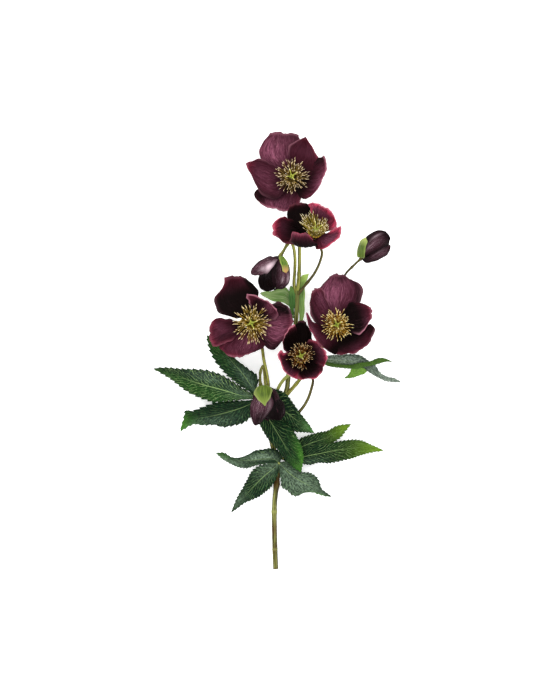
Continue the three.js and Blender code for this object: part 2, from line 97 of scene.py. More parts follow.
def dress(tree, shader, colour, height, strength, depth):
    """Gives the shader its colour and its relief."""
    relief = add_node(tree, "Bump", {"Height": height, "Strength": strength, "Distance": depth})
    tree.links.new(colour, shader.inputs["Base Color"])
    tree.links.new(relief, shader.inputs["Normal"])


def smooth_line(points, shares, steps=60):
    """Places and directions at shares of the length of a smooth line through points, and its length."""
    given = np.array(points, float)
    given = np.vstack([2 * given[0] - given[1], given, 2 * given[-1] - given[-2]])
    dense = []
    for a, b, c, d in zip(given, given[1:], given[2:], given[3:]):
        before, here, after = (math.sqrt(np.linalg.norm(q - p)) for p, q in ((a, b), (b, c), (c, d)))
        leave = ((b - a) / before - (c - a) / (before + here) + (c - b) / here) * here
        arrive = ((c - b) / here - (d - b) / (here + after) + (d - c) / after) * here
        t = np.linspace(0, 1, steps, endpoint=False)[:, None]
        bend = 3 * (c - b) - 2 * leave - arrive
        dense.append(b + leave * t + bend * t ** 2 + (2 * (b - c) + leave + arrive) * t ** 3)
    dense = np.vstack(dense + [given[-2:-1]])
    travelled = np.concatenate([[0], np.cumsum(np.linalg.norm(np.diff(dense, axis=0), axis=1))])
    heading = np.gradient(dense, travelled, axis=0)
    at = np.asarray(shares) * travelled[-1]
    place = np.stack([np.interp(at, travelled, dense[:, k]) for k in range(3)], axis=-1)
    direction = np.stack([np.interp(at, travelled, heading[:, k]) for k in range(3)], axis=-1)
    direction /= np.linalg.norm(direction, axis=-1, keepdims=True)
    return place, direction, travelled[-1]


def grid(along, across):
    """u from 0 to 1 along a sheet and v from -1 to 1 across it, at each of its points."""
    return np.meshgrid(np.linspace(0, 1, along + 1), np.linspace(-1, 1, across + 1))


def sheet(name, along, across, shape):
    """A grid whose points are moved onto a surface: shape(u, v) gives their places in mm."""
    bpy.ops.mesh.primitive_grid_add(x_subdivisions=along, y_subdivisions=across, size=2)
    piece = bpy.context.object
    piece.name = piece.data.name = name
    piece.data.vertices.foreach_set("co", (shape(*grid(along, across)) * MM).ravel())
    piece.data.update()
    return piece


def close_seams():
    """Merges the points of the active piece that lie together and turns every face outwards."""
    bpy.ops.object.mode_set(mode="EDIT")
    bpy.ops.mesh.select_all(action="SELECT")
    bpy.ops.mesh.remove_doubles(threshold=SEAM_GAP)
    bpy.ops.mesh.normals_make_consistent(inside=False)
    bpy.ops.object.mode_set(mode="OBJECT")


def tube(name, points, radius, sides=12, step=1.5):
    """A closed round stalk.  radius(travelled, left, angle) is in mm, and UV runs in UV_UNIT along it."""
    length = smooth_line(points, [0])[2]
    along = max(6, round(length / step)) + 2
    shares = np.concatenate([[0], np.linspace(0, 1, along - 1), [1]])
    place, direction, _ = smooth_line(points, shares)

    def shape(u, v):
        side = np.array([1.0, 0, 0])
        sides_at = []
        for heading in direction:
            side = side - heading * side.dot(heading)
            side = side / np.linalg.norm(side)
            sides_at.append(side)
        side = np.array(sides_at)
        other = np.cross(direction, side)
        angle = np.pi * v
        reach = radius(shares * length + 0 * v, (1 - shares) * length + 0 * v, angle) * np.ones_like(v)
        reach[:, [0, -1]] = 0
        turned = np.cos(angle)[..., None] * side + np.sin(angle)[..., None] * other
        return place + reach[..., None] * turned

    piece = sheet(name, along, sides, shape)
    layer = piece.data.uv_layers[0].data
    spots = np.empty(2 * len(layer))
    layer.foreach_get("uv", spots)
    spots[0::2] *= length / UV_UNIT
    layer.foreach_set("uv", spots)
    return piece


def paint(piece, tone):
    """Gives a piece the colours at its points that its material reads as its tone."""
    layer = piece.data.color_attributes.new("tone", "FLOAT_COLOR", "POINT")
    layer.data.foreach_set("color", np.clip(tone, 0, 1).ravel())


def plant_stem(name, dark, middle, light, brown, shade):
    """Green stem: satin skin with long fibres, with painted shade on its flanks so that it looks paler on
    top.  Tone red is pale and green is brown.
    """
    material, tree, shader = new_material(name)
    shader.inputs["Roughness"].default_value = 0.5
    shader.inputs["Specular IOR Level"].default_value = 0.08
    shader.inputs["Subsurface Weight"].default_value = 0.08
    shader.inputs["Subsurface Radius"].default_value = (0.001, 0.0015, 0.0005)
    place = add_node(tree, "TexCoord").node.outputs
    # fibres 1 to 2 mm apart and 30 mm long, and brown blotches 17 mm across
    fibres_at = add_node(tree, "Mapping", {"Vector": place["UV"], "Scale": (0.35, 9, 1)})
    fibres = add_node(tree, "TexNoise", {"Vector": fibres_at, "Scale": 1.0, "Detail": 4.0})
    blotches = add_node(tree, "TexNoise", {"Vector": place["Object"], "Scale": 60.0, "Detail": 3.0})
    # painted shade: the flanks are darkened by up to shade, a quarter of the way round being the upper side
    off_top = add_node(tree, "SeparateXYZ", {0: place["UV"]}, 1)
    off_top = add_node(tree, "Math", {0: off_top, 1: 0.25}, operation="SUBTRACT")
    off_top = add_node(tree, "Math", {0: off_top}, operation="ABSOLUTE")
    painted_flank_shade = add_node(tree, "MapRange", {0: off_top, 1: 0.07, 2: 0.22, 3: 0.0, 4: shade})
    layer = add_node(tree, "Attribute", output="Color", attribute_name="tone")
    tone = add_node(tree, "SeparateColor", {0: layer}).node.outputs
    pale_fibres = add_node(tree, "MapRange", {0: fibres, 1: 0.42, 2: 0.62})
    dark_fibres = add_node(tree, "MapRange", {0: fibres, 1: 0.45, 2: 0.32})
    browned = add_node(tree, "MapRange", {0: blotches, 1: 0.56, 2: 0.7, 3: 0.0, 4: 0.7})
    browned = add_node(tree, "Math", {0: browned, 1: tone[1]}, operation="MAXIMUM")
    colour = layered(tree, middle, [(pale_fibres, light), (painted_flank_shade, dark), (dark_fibres, dark),
                                    (browned, brown), (tone[0], light)])
    dress(tree, shader, colour, fibres, 0.35, 0.0004)
    return material


def bumps(at, places):
    """The sum of smooth bumps, each (place, strength, spread)."""
    return sum(strength * np.exp(-((at - place) / spread) ** 2) for place, strength, spread in places)


def stem_radius(travelled, left, angle):
    """Thickest at the cut end, with its joints and low ribs."""
    share = travelled / (travelled + left)
    foot, top = STEM_RADIUS
    ribs, rib_depth = STEM_RIBS
    # the ribs twist slowly round the stem
    ribbed = rib_depth * np.cos(ribs * angle + 0.01 * travelled)
    return foot + (top - foot) * share + bumps(travelled, STEM_JOINTS) + ribbed


stem_skin = plant_stem("olive_green_stem", "#1a1b08", "#424417", "#7d7f48", "#3c260e", 1.0)
main_stem = tube("main_stem_ribbed", STEM_PATH, stem_radius, sides=STEM_SIDES, step=1)
stem_cut = plant_stem("cut_stem_pith", "#4c4724", "#7b7346", "#958c62", "#553f24", 1.0)
main_stem.data.materials.append(stem_skin)
main_stem.data.materials.append(stem_cut)
cells_along = len(main_stem.data.vertices) // (STEM_SIDES + 1) - 1
from_end = np.array([vertex.co.y for vertex in main_stem.data.vertices]) / MM - STEM_PATH[0][1]
pale, brown = bumps(from_end, PALE_RINGS), bumps(from_end, BROWN_SCARS)
paint(main_stem, np.stack([pale, brown, 0 * pale, 0 * pale], axis=-1))
# the first cell along each strip closes the cut end
for face in main_stem.data.polygons:
    face.material_index = 1 if face.index % cells_along == 0 else 0
close_seams()
bpy.ops.object.shade_smooth_by_angle(angle=math.radians(50))
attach(main_stem, "root")
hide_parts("main_stem")


# --------------------------------------------------------------------------------------------------
# Flower and bud stalks.  Thin round stalks, each from the stem or another stalk to a flower's neck.  A
# flower's stalk ends in the receptacle, the flat swollen top that the sepals and stamens grow on.
# --------------------------------------------------------------------------------------------------
# centre and facing: where a flower sits, in mm, and where it looks.  hook: how many mm of its stalk run
# straight up to it.  reach and spread: how long its filaments are, in mm, and how far they lean, in degrees.
FLOWERS = {
    "flower_1": dict(centre=(12.2, 155.3, 17), facing=(0.02, 0.22, 1), hook=9, reach=15, spread=62, stalk=[
        (17.4, 53, 20), (18.6, 63, 21.5), (19.3, 79, 22), (19.3, 92, 21), (18, 113, 16), (15.3, 135, 9)]),
    "flower_2": dict(centre=(32, 104, 36), facing=(0.25, 0.6, 0.76), hook=7, reach=14, spread=50, stalk=[
        (17, 49, 20), (23.8, 58, 22), (32.5, 69, 23.5), (37.8, 80, 23.5), (39.5, 89, 23), (35.5, 95.5, 24)]),
    "flower_3": dict(centre=(-24, 24.8, 28), facing=(0.02, -0.03, 1), hook=11, reach=16, spread=68, stalk=[
        (-5, -55, 11), (-9, -44, 15.5), (-8.6, -32, 17), (-10, -22, 18), (-12.8, -8, 18), (-15.5, 8, 17)]),
    "flower_4": dict(centre=(20.7, -6.4, 39), facing=(0, 0.24, 0.97), hook=9, reach=12, spread=52, stalk=[
        (-7, -72, 10), (3, -66, 9), (19.3, -55, 11), (26.5, -44.5, 15), (30, -34.5, 18), (31.4, -26.2, 20),
        (27, -18, 22)]),
    "flower_5": dict(centre=(53.1, 22, 32), facing=(-0.05, 0.15, 1), hook=11, reach=14, spread=58, stalk=[
        (6, -42, 13), (20.7, -24.7, 17), (35, -3, 20), (46, 10, 19)]),
}
# neck and axis: where a bud starts and which way it runs.  length and radius: those of the closed bud.
BUDS = {
    "bud_1": dict(neck=(2.3, 85, 31), axis=(-0.3, -0.94, -0.05), length=32, radius=13.5, stalk=[
        (15.5, 50, 19), (14.4, 60, 20.5), (15, 72, 22), (15.2, 83, 23.5), (13.8, 93, 26), (11.3, 98, 28.5),
        (8.6, 95.5, 30), (5, 89.6, 31)]),
    "bud_2": dict(neck=(75, 83, 19), axis=(0.78, 0.63, 0.05), length=31, radius=12.5, stalk=[
        (38, 0, 19), (42, 14, 12.5), (52, 44, 12), (60.3, 68, 14), (68, 76.5, 17.5)]),
    "bud_3": dict(neck=(-15.5, -31, 37.5), axis=(0.32, -0.94, -0.04), length=34, radius=13.2, stalk=[
        (-8.7, -38, 16.5), (-11.3, -31, 22), (-12.4, -20, 29), (-13.6, -13.8, 33), (-15.6, -18.5, 35.5),
        (-16, -26, 37)]),
}
STALK_RADII = {"flower_1": 1.6, "flower_2": 1.2, "flower_3": 1.5, "flower_4": 1.4, "flower_5": 1.6,
               "bud_1": 1.4, "bud_2": 0.98, "bud_3": 1.15}
BROWN_STALKS = ("flower_2", "flower_4", "bud_2")
BUD_STALK_INSIDE = 2        # mm of a bud's stalk that its sepals wrap
# swellings in mm, (at, strength, spread): from the stalk's foot, and below the bud
FLOWER_STALK_KNUCKLES = [(16, 0.35, 1.8), (0, 0.3, 12)]
BUD_STALK_KNUCKLES = [(12, 0.4, 1.6), (0, 0.9, 2)]
BUD_STALK_FOOT = [(0, 0.3, 10)]
# the receptacle at the end of a flower's stalk: distances from the end, and the radii there, in mm
FLARE_AT = [0, 1.2, 2.2, 3.4, 5]
FLARE_RADII = [6, 5.4, 3.6, 2]
SEAT_GAP = 0.32             # mm between a receptacle and what is seated on it


def unit(vector):
    """The vector's direction."""
    vector = np.array(vector, float)
    return vector / np.linalg.norm(vector)


def flower_frame(flower):
    """The flower's axis and two directions across it, the first as near +X as can be."""
    axis = unit(flower["facing"])
    first = unit(np.array([1.0, 0, 0]) - axis * axis[0])
    return axis, first, np.cross(axis, first)


def flower_stalk(radius):
    """Slender and faintly ribbed, with a knuckle low down, and flared out at the top into the receptacle."""

    def profile(travelled, left, angle):
        flare = np.interp(left, FLARE_AT, FLARE_RADII + [radius])
        waist = 0.1 * (left > 6)
        return flare + bumps(travelled, FLOWER_STALK_KNUCKLES) + 0.06 * np.cos(4 * angle) - waist

    return profile


def bud_stalk(radius):
    """Slender and faintly ribbed, with a knuckle below the bud and another where it meets the bud."""

    def profile(travelled, left, angle):
        knuckle = bumps(left - BUD_STALK_INSIDE, BUD_STALK_KNUCKLES)
        return radius + knuckle + bumps(travelled, BUD_STALK_FOOT) + 0.05 * np.cos(3 * angle)

    return profile


green_stalk = plant_stem("olive_flower_stalk", "#26260a", "#5e5e20", "#a6a656", "#3c280f", 0.6)
brown_stalk = plant_stem("brown_green_stalk", "#1a1409", "#3a3017", "#646034", "#2e1c0d", 0.9)
stalks = {}
for node_name, flower in FLOWERS.items():
    axis = flower_frame(flower)[0]
    below = [np.array(flower["centre"]) - axis * drop for drop in (flower["hook"], flower["hook"] / 2, 0)]
    stalks[node_name] = (flower["stalk"] + below, flower_stalk(STALK_RADII[node_name]))
for node_name, bud in BUDS.items():
    inside = np.array(bud["neck"]) + BUD_STALK_INSIDE * unit(bud["axis"])
    stalks[node_name] = (bud["stalk"] + [bud["neck"], inside], bud_stalk(STALK_RADII[node_name]))
for node_name, (line, radius) in stalks.items():
    stalk = tube(f"{node_name}_stalk_green", line, radius)
    stalk.data.materials.append(brown_stalk if node_name in BROWN_STALKS else green_stalk)
    close_seams()
    bpy.ops.object.shade_smooth_by_angle(angle=math.radians(60))
    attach(stalk, "root")
    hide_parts(f"{node_name}_stalk")


# --------------------------------------------------------------------------------------------------
# Sepals.  Five soft, petal-like sepals on each flower, narrow where they are seated on the receptacle
# and broad and cupped beyond it.  They are dark burgundy tissue with fine veins that fan out from the
# seat, crimson towards some rims, and thin enough for the edges to curl and wave.
# --------------------------------------------------------------------------------------------------
CLAW_RADIUS = 4.5
CLAW_WIDTH = 4.6
CAD_SEPAL_THICKNESS = 0.8
SEPAL_THICKNESS = 0.45
TABLE_CLEARANCE = 0.5
BASE_FULLNESS = 1.9         # how far the bases reach past their outlines, to close up round the stamens
PLEAT_RISE = 0.16
NO_ROLL = (0, 0, 0)
LINES = {"left": 1, "middle": 0, "right": -1}        # the lines that a sheet runs through, and v on each
# left, middle and right: the counter-clockwise edge, the midline and the clockwise edge, in mm from the
# flower's centre, from beyond the claw to the end.  turn: the claw's direction round the axis.  wave: how
# much the edges wave, and roll: how far they roll up, in mm.  rim and pale: how crimson the left edge, the
# right edge and the end are, and how much pale pink painted highlight lies along them.  dark: near-black
# patches of painted shade in folds and under neighbouring sepals, each (u, v, half length, half width,
# strength).  glow: (u, v, strength, all over) of the mauve bloom, partly the sepals' own mauve and partly
# painted sheen.  night: how far out the near-black base reaches, partly the sepals' own dark base and partly
# painted shade round the stamens.
SEPALS = {
    "flower_1": [
        dict(turn=108, wave=0.9, night=0.12, glow=(0.6, 0.45, 0.8, 0.16),
             rim=(0.1, 0, 0), pale=(0, 0.15, 0.2), dark=[(1, -0.5, 0.25, 0.6, 0.35)],
             left=[(-7.2, 5.7, 0.1), (-19.4, 9.9, 0), (-28.9, 19, -1), (-27.1, 29.9, -5),
                   (-19.2, 41.4, -13)],
             middle=[(-5.9, 16.3, -2.5), (-7.2, 28.2, -7), (-5.9, 41.5, -15)],
             right=[(2.6, 8.7, -1.3), (5.8, 11.8, 0), (8.5, 23.5, -2), (9, 31.8, -7), (6.3, 39.3, -13)]),
        dict(turn=36, wave=0.5, night=0.2, glow=(0.75, -0.5, 0.12, 0),
             rim=(0, 0.6, 0.3), pale=(0.3, 0.1, 0.1), dark=[],
             left=[(0.4, 13.5, 1), (-3.2, 22.5, 2.5), (-0.9, 30.6, 2.5), (7.6, 34.6, 1.5), (12.7, 36.8, 0)],
             middle=[(6.7, 11.8, 0), (11.2, 22.6, 0), (12.8, 36.8, 0)],
             right=[(9.1, 0.3, 0.4), (10.3, 1.3, 1.5), (20.2, 3, 5), (25.4, 9.7, 7), (21.4, 23.3, 5),
                    (13, 36.6, 0)]),
        dict(turn=324, wave=0.4, roll=(0, 0, 1), night=0.45, glow=(0.95, -0.3, 0.9, 0.05),
             rim=(0, 0.3, 0.5), pale=(0, 0, 0.4), dark=[(0.85, 1, 0.4, 0.6, 0.8)],
             left=[(14.8, 8.1, 1), (22, 16, 6), (30, 20, 13)],
             middle=[(13, 0, 2), (22.9, 0.7, 9), (31.7, 6.2, 18)],
             right=[(3.6, -8.1, 0.5), (7.2, -16.8, 5), (13, -19.4, 9), (23.7, -10.7, 15)]),
        dict(turn=180, wave=0.5, night=0.15, glow=(0.55, 0.2, 0.22, 0.1),
             rim=(0.15, 0, 1), pale=(0.15, 0.15, 0.3), dark=[(0.5, 1.1, 0.5, 0.4, 0.7)],
             left=[(-6.8, -10.8, 1), (-14, -19.4, 4), (-25.7, -15.8, 4), (-33.8, -3.2, 3),
                   (-40.8, 11.7, 2)],
             middle=[(-13.1, 0, 0), (-26.6, 4.5, 0.5), (-41.1, 12.6, 2)],
             right=[(-7.5, 5.2, -0.4), (-10.4, 7.6, 1.5), (-19.4, 13.4, 3), (-29.7, 17, 4),
                    (-36.5, 15.2, 3), (-40.6, 13.3, 2)]),
        dict(turn=252, wave=0.8, roll=(0, 0, 1), night=0.3, glow=(0.9, 0, 0.75, 0.1),
             rim=(0.4, 0.1, 0.2), pale=(0.1, 0, 0.35), dark=[(0.6, -1, 0.5, 0.7, 0.8)],
             left=[(5.8, -9.4, 0), (7.9, -18, 1.5), (7.2, -24.4, 3), (0.4, -29.6, 5)],
             middle=[(-5, -10.7, -1), (-10.4, -19.8, 0), (-13.5, -29.3, 5)],
             right=[(-7.3, -5.2, 1.9), (-17.6, -8.9, -1), (-30.7, -9.4, -2), (-33.9, -15.3, 0),
                    (-28.4, -23.5, 4)]),
    ],
    "flower_2": [
        dict(turn=132, wave=0.6, night=0.95, glow=(0.5, 0, 0, 0),
             rim=(0.3, 0, 0.15), pale=(0, 0, 0.1), dark=[(0.6, -1, 0.8, 0.6, 1)],
             left=[(-8.7, 3.2, 0), (-18.5, 9.4, 2), (-24.1, 17.9, 3), (-21.2, 26.5, 2)],
             middle=[(-5.1, 13.1, -1), (-11.4, 21.2, -1.5), (-14, 28.4, -1)],
             right=[(0.3, 12.2, 0), (0.3, 19.3, 1), (-1.9, 25.6, 1), (-6.9, 28.1, 0)]),
        dict(turn=60, wave=0.5, roll=(0, 0, 0.5), night=0.4, glow=(0.9, 0.5, 0.7, 0.1),
             rim=(0.8, 2, 2.6), pale=(0.1, 0.4, 1), dark=[],
             left=[(-0.6, 14.8, 1), (-3.3, 22.9, 3), (-4.6, 27.2, 3), (-0.6, 28.5, 2)],
             middle=[(4.8, 14, -1), (8.4, 19.8, 1), (11, 24.8, 5)],
             right=[(6.6, 2.3, 0.5), (13.7, 3.1, 4), (20.7, 7.1, 8), (19.1, 16.4, 9)]),
        dict(turn=348, wave=0.4, night=0.05, glow=(0.65, 0, 0.6, 0.2),
             rim=(1.8, 1.2, 1.6), pale=(0.5, 0, 0.5), dark=[(0.5, -1, 0.6, 0.35, 0.8)],
             left=[(5.7, 2.8, 0), (11.5, 1, 3), (15.9, 4.1, 10), (24.3, 7.7, 16)],
             middle=[(6.6, -1.3, 2), (14.1, -4.2, 9), (22.1, -3.4, 17)],
             right=[(2.1, -1.3, 0), (0.7, -7.7, 5), (2, -12.7, 9), (8.3, -13.4, 12)]),
        dict(turn=276, wave=0.8, roll=(0, 1.5, 1), night=0.75, glow=(0.7, 0.3, 0.1, 0),
             rim=(0.1, 0.6, 0.8), pale=(0, 0.1, 0.2), dark=[],
             left=[(3.9, -3.1, 0), (3.8, -8.6, 8), (2, -8.4, 18), (-2.1, -4, 26)],
             middle=[(-1.5, -6.7, 2), (-7.8, -11.8, 13), (-9.7, -0.1, 29)],
             right=[(-4.2, -1.3, 0), (-15.9, -9, 6), (-21.7, -6.5, 16), (-19.5, -0.5, 25)]),
        dict(turn=204, wave=1.1, roll=(0, 1, 0), night=0.6, glow=(0.6, -0.2, 0.12, 0),
             rim=(0.4, 0.3, 1), pale=(0.1, 0, 0.4), dark=[(0.55, 0.9, 0.5, 0.5, 0.7)],
             left=[(-5.1, 0.5, 1), (-14.1, -8.5, 4), (-24.8, -7.7, 7), (-32.9, -1.5, 10)],
             middle=[(-14.9, 3.2, -1), (-26.6, 4.5, 3), (-37.2, 3, 10)],
             right=[(-6.9, 5, 0), (-17.6, 11.7, 3), (-26.6, 16.7, 6), (-34.7, 12.4, 9)]),
    ],
    "flower_3": [
        dict(turn=112, wave=0.9, night=0.75, glow=(0.6, 0.6, 0.04, 0),
             rim=(0.7, 0, 0.1), pale=(0.1, 0, 0.1), dark=[(0.6, -1, 0.8, 0.7, 1)],
             left=[(-7.6, 5, 1.5), (-14.6, 5.3, 0), (-30.3, 10.2, 2), (-32.9, 22.4, 2), (-26.1, 32.2, 2),
                   (-24, 41, 2)],
             middle=[(-7.5, 16.1, -1.5), (-12.8, 28.7, -1), (-13.7, 42.4, 0.5)],
             right=[(2, 8.9, 0.8), (1.5, 15.2, 0.5), (7.2, 25.1, 1), (2.4, 33.6, 1), (-4.7, 40.1, 0.5)]),
        dict(turn=40, wave=0.4, roll=(1, 0, 1.5), night=0.5, glow=(0.8, -0.5, 0.32, 0.02),
             rim=(0.4, 0, 0.3), pale=(0.55, 0.2, 0.6), dark=[(0.6, 0.2, 0.3, 0.6, 0.8)],
             left=[(2.4, 8.8, 1.4), (0.6, 12.5, 1), (-2, 18.8, 3), (-4.2, 23.2, 5), (-2.9, 26.8, 7)],
             middle=[(5.1, 10.7, 0), (9.2, 16.1, 3), (12.8, 21.6, 9)],
             right=[(9.1, 0.8, 0.4), (11.4, 4.4, 1), (18.6, 2.6, 3), (24.4, 5.5, 5), (22.2, 12.9, 7)]),
        dict(turn=328, wave=0.6, night=0.2, glow=(0.62, -0.25, 0.75, 0.2),
             rim=(0.1, 0, 0.3), pale=(0.1, 0, 0.15),
             dark=[(0.85, 0.9, 0.6, 0.75, 1), (0.6, -1, 0.6, 0.35, 0.8)],
             left=[(9.6, 8.9, 0), (16.8, 16.1, 1), (24, 18.9, 3), (32.5, 15.2, 4)],
             middle=[(13.2, -1, -0.5), (25.8, -0.6, 3), (37.1, 0.8, 6)],
             right=[(3.6, -8.4, 0.3), (6, -9.1, 0), (11.9, -20.3, 1), (18.6, -24.7, 2), (28.5, -15.8, 4)]),
        dict(turn=256, wave=1.2, night=0.1, glow=(0.6, 0.2, 0.42, 0.08),
             rim=(0.2, 0.2, 0.4), pale=(0, 0, 0.25), dark=[(0.5, 1, 0.6, 0.5, 0.55)],
             left=[(3.3, -8.6, 0.9), (4.2, -10, 0), (12.3, -19, 2), (9.6, -23.4, 3), (-0.7, -26.6, 3.5)],
             middle=[(-3, -10.9, -0.5), (-6.5, -20.8, 1), (-10.1, -30.9, 3.5)],
             right=[(-6.8, -6, 0.6), (-7.4, -8.2, 0), (-20, -13.6, 1.5), (-28.6, -21.7, 1),
                    (-20, -29.6, 2)]),
        dict(turn=184, wave=0.5, night=0.35, glow=(0.75, 0.1, 0.25, 0.04),
             rim=(0.4, 0.1, 0.6), pale=(0.15, 0, 0.1),
             dark=[(0.55, 0.6, 0.4, 0.4, 0.5), (0.95, -0.2, 0.2, 0.4, 0.3)],
             left=[(-7.1, -5.7, 1.2), (-8.3, -7.3, 0), (-17.3, -15.4, 2), (-26.3, -19.4, 2.5),
                   (-34.4, -21.5, 3)],
             middle=[(-15.5, -3.7, -0.5), (-27.2, -6.8, 1), (-37.9, -10, 4)],
             right=[(-7.8, 4.6, 0.9), (-10.1, 1.3, 0.5), (-20, 3.2, 2), (-29, 4.6, 3), (-35.4, 1.5, 4)]),
    ],
    "flower_4": [
        dict(turn=90, wave=0.5, night=1.2, glow=(0.6, 0, 0, 0),
             rim=(0.3, 0.3, 0.15), pale=(0, 0, 0.1), dark=[],
             left=[(-5, 6.9, 0), (-8.6, 17.6, 3), (-7.3, 26.6, 6), (-2.5, 32.6, 8)],
             middle=[(-0.1, 12.2, 0), (0.4, 22.1, 2.5), (1.1, 33.3, 9)],
             right=[(5.3, 6.9, 0), (10.2, 17.6, 3), (7.1, 25.7, 6), (4.1, 32.1, 8)]),
        dict(turn=162, wave=0.5, roll=(0, 0, 0.5), night=0.85, glow=(0.6, 0, 0, 0),
             rim=(0.5, 0, 0.4), pale=(0.4, 0, 0.8), dark=[],
             left=[(-8.7, -2.3, 1.8), (-9, 1.5, 1), (-15.3, 6.9, 6), (-16.4, 13.1, 12), (-14.9, 18.5, 17)],
             middle=[(-8.1, 11.3, 3), (-12.2, 17.6, 10), (-12.4, 24.9, 18)],
             right=[(-1, 10.4, 1), (-2.3, 21.2, 6), (-4.6, 26.5, 10), (-7, 29.8, 13)]),
        dict(turn=234, wave=0.5, night=0.4, glow=(0.95, 0.3, 0.75, 0.06),
             rim=(1.3, 1.2, 1.6), pale=(0.35, 0.5, 0.8), dark=[],
             left=[(-0.1, -7.5, 0.5), (0.3, -14.6, 8), (-2.8, -18.9, 15), (-8.2, -17.7, 21)],
             middle=[(-9.9, -4.8, 5), (-14.4, -8.3, 16), (-16.2, -9.6, 28)],
             right=[(-8.1, 5.1, 1), (-15.3, 4.6, 12), (-18.9, 6.1, 20), (-21, 3.3, 24)]),
        dict(turn=306, wave=0.6, night=0.6, glow=(0.8, 0, 0.25, 0),
             rim=(0.2, 1, 0.9), pale=(0.1, 0.3, 0.4), dark=[(0.9, 1, 0.4, 0.5, 0.7)],
             left=[(9.8, -0.3, 1), (16, -4.8, 12), (19.8, -7.4, 20), (18.6, -12.3, 25)],
             middle=[(5.3, -8.4, 5), (9.7, -14.6, 16), (13.6, -17.8, 29)],
             right=[(-3.7, -8.4, 0.5), (-3.7, -14.6, 10), (-1, -18.9, 17), (5.2, -18.3, 24)]),
        dict(turn=18, wave=0.5, night=0.45, glow=(0.9, 0.2, 0.5, 0.03),
             rim=(0.7, 1.3, 1.6), pale=(0.25, 0.5, 0.8), dark=[],
             left=[(2.2, 9.5, 1), (7.5, 15.8, 8), (13.3, 14.4, 15), (17.7, 8.5, 20)],
             middle=[(8.9, 3.3, 3), (16, 3.3, 12), (23, 3.3, 25)],
             right=[(6.2, -3.9, 0.5), (13.3, -7.9, 9), (20, -8.3, 15), (22, -3.4, 20)]),
    ],
    "flower_5": [
        dict(turn=90, wave=0.9, night=0.1, glow=(0.6, 0.35, 0.9, 0.18),
             rim=(0.1, 0, 0), pale=(0, 0.2, 0.15),
             dark=[(0.95, -0.2, 0.2, 0.4, 0.4), (0.6, -1.1, 0.6, 0.5, 0.8)],
             left=[(-5.3, 7.6, -0.2), (-10.9, 16.2, 0), (-18.5, 26.9, -1), (-14.5, 35.5, -4),
                   (-6.3, 44.8, -10)],
             middle=[(-0.1, 16.2, -2), (1.3, 31.5, -4), (2.3, 47, -13)],
             right=[(5.2, 7.5, -0.3), (11.5, 14.4, 0), (22.3, 23.4, -1), (21.3, 37, -4), (9.2, 42.9, -10)]),
        dict(turn=162, wave=0.5, night=0.15, glow=(0.65, -0.3, 0.45, 0.08),
             rim=(0.3, 0.1, 0.3), pale=(0.3, 0.3, 0.2), dark=[(0.6, 1, 0.5, 0.4, 0.8)],
             left=[(-8.8, -2.5, 1.1), (-10.9, -2.7, 0.5), (-20.8, 4, 3), (-24.8, 15.2, 5),
                   (-23.3, 29.1, 5)],
             middle=[(-10.9, 13.5, 0), (-16.7, 23.3, 2), (-20.8, 33.2, 6)],
             right=[(-5.5, 7.2, -0.8), (-5.5, 13.5, 1), (-9.6, 23.3, 3), (-11.8, 30.9, 3),
                    (-16.3, 34.1, 3)]),
        dict(turn=234, wave=0.4, night=0.2, glow=(0.9, -0.4, 0.3, 0),
             rim=(0.2, 0.5, 0.5), pale=(0, 0.1, 0.2), dark=[(0.7, 1.1, 0.7, 0.8, 1)],
             left=[(1.7, -10.8, 0), (1.2, -21.6, 6), (-1.6, -25.3, 11), (-8.4, -22.4, 17)],
             middle=[(-10, -7.2, 5), (-15.5, -10.8, 14), (-18.2, -13.5, 24)],
             right=[(-10.9, -0.9, 1), (-22.6, 4.4, 9), (-27.5, 12, 14), (-26.3, 0.4, 19)]),
        dict(turn=306, wave=0.6, roll=(0, 0, 1), night=0.6, glow=(0.9, -0.3, 0.1, 0),
             rim=(0.1, 0.5, 0.3), pale=(0, 0.1, 0.15), dark=[(0.9, 1, 0.5, 0.7, 0.8)],
             left=[(8.5, -2.7, 2.1), (9.8, -3.6, 0), (23.2, -3.6, 4), (30.3, 2.1, 9), (34.1, -3.6, 13)],
             middle=[(7, -9, 1), (17.7, -14.4, 7), (28, -16.7, 16)],
             right=[(-4.6, -11.7, 0), (-5.6, -21.6, 5), (0.7, -25.4, 8), (15, -23.4, 11)]),
        dict(turn=18, wave=0.5, roll=(0, 1, 0), night=0.7, glow=(0.7, -0.6, 0.3, 0.03),
             rim=(0.5, 0.5, 0.6), pale=(0, 0.9, 0.3), dark=[],
             left=[(5.5, 7.4, 0.4), (6.1, 11.7, 1), (11.1, 20.2, 3), (20.5, 20.8, 5), (29.8, 16.8, 8)],
             middle=[(11.5, 5.4, 0), (21.4, 8.5, 4), (31.4, 11.6, 11)],
             right=[(8.8, -2.7, 1), (17.8, -7.6, 5), (24, -5.4, 8), (29.9, 4.9, 11)]),
    ],
}


def rise(low, high, x):
    """Smooth step from 0 at low to 1 at high."""
    t = np.clip((x - low) / (high - low), 0, 1)
    return t * t * (3 - 2 * t)


def loft(u, v, left, middle, right):
    """A surface through three lines of points: v is 1 on the left one and -1 on the right one."""
    v = v[..., None]
    points = (smooth_line(left, u[0])[0] * (v * v + v) / 2 + smooth_line(middle, u[0])[0] * (1 - v * v)
              + smooth_line(right, u[0])[0] * (v * v - v) / 2)
    onwards = np.gradient(points, axis=1)
    onwards /= np.linalg.norm(onwards, axis=2, keepdims=True) + 1e-9
    outwards = np.gradient(points, axis=0)
    outwards /= np.linalg.norm(outwards, axis=2, keepdims=True) + 1e-9
    normal = np.cross(onwards, outwards)
    return points, onwards, outwards, normal / (np.linalg.norm(normal, axis=2, keepdims=True) + 1e-9)


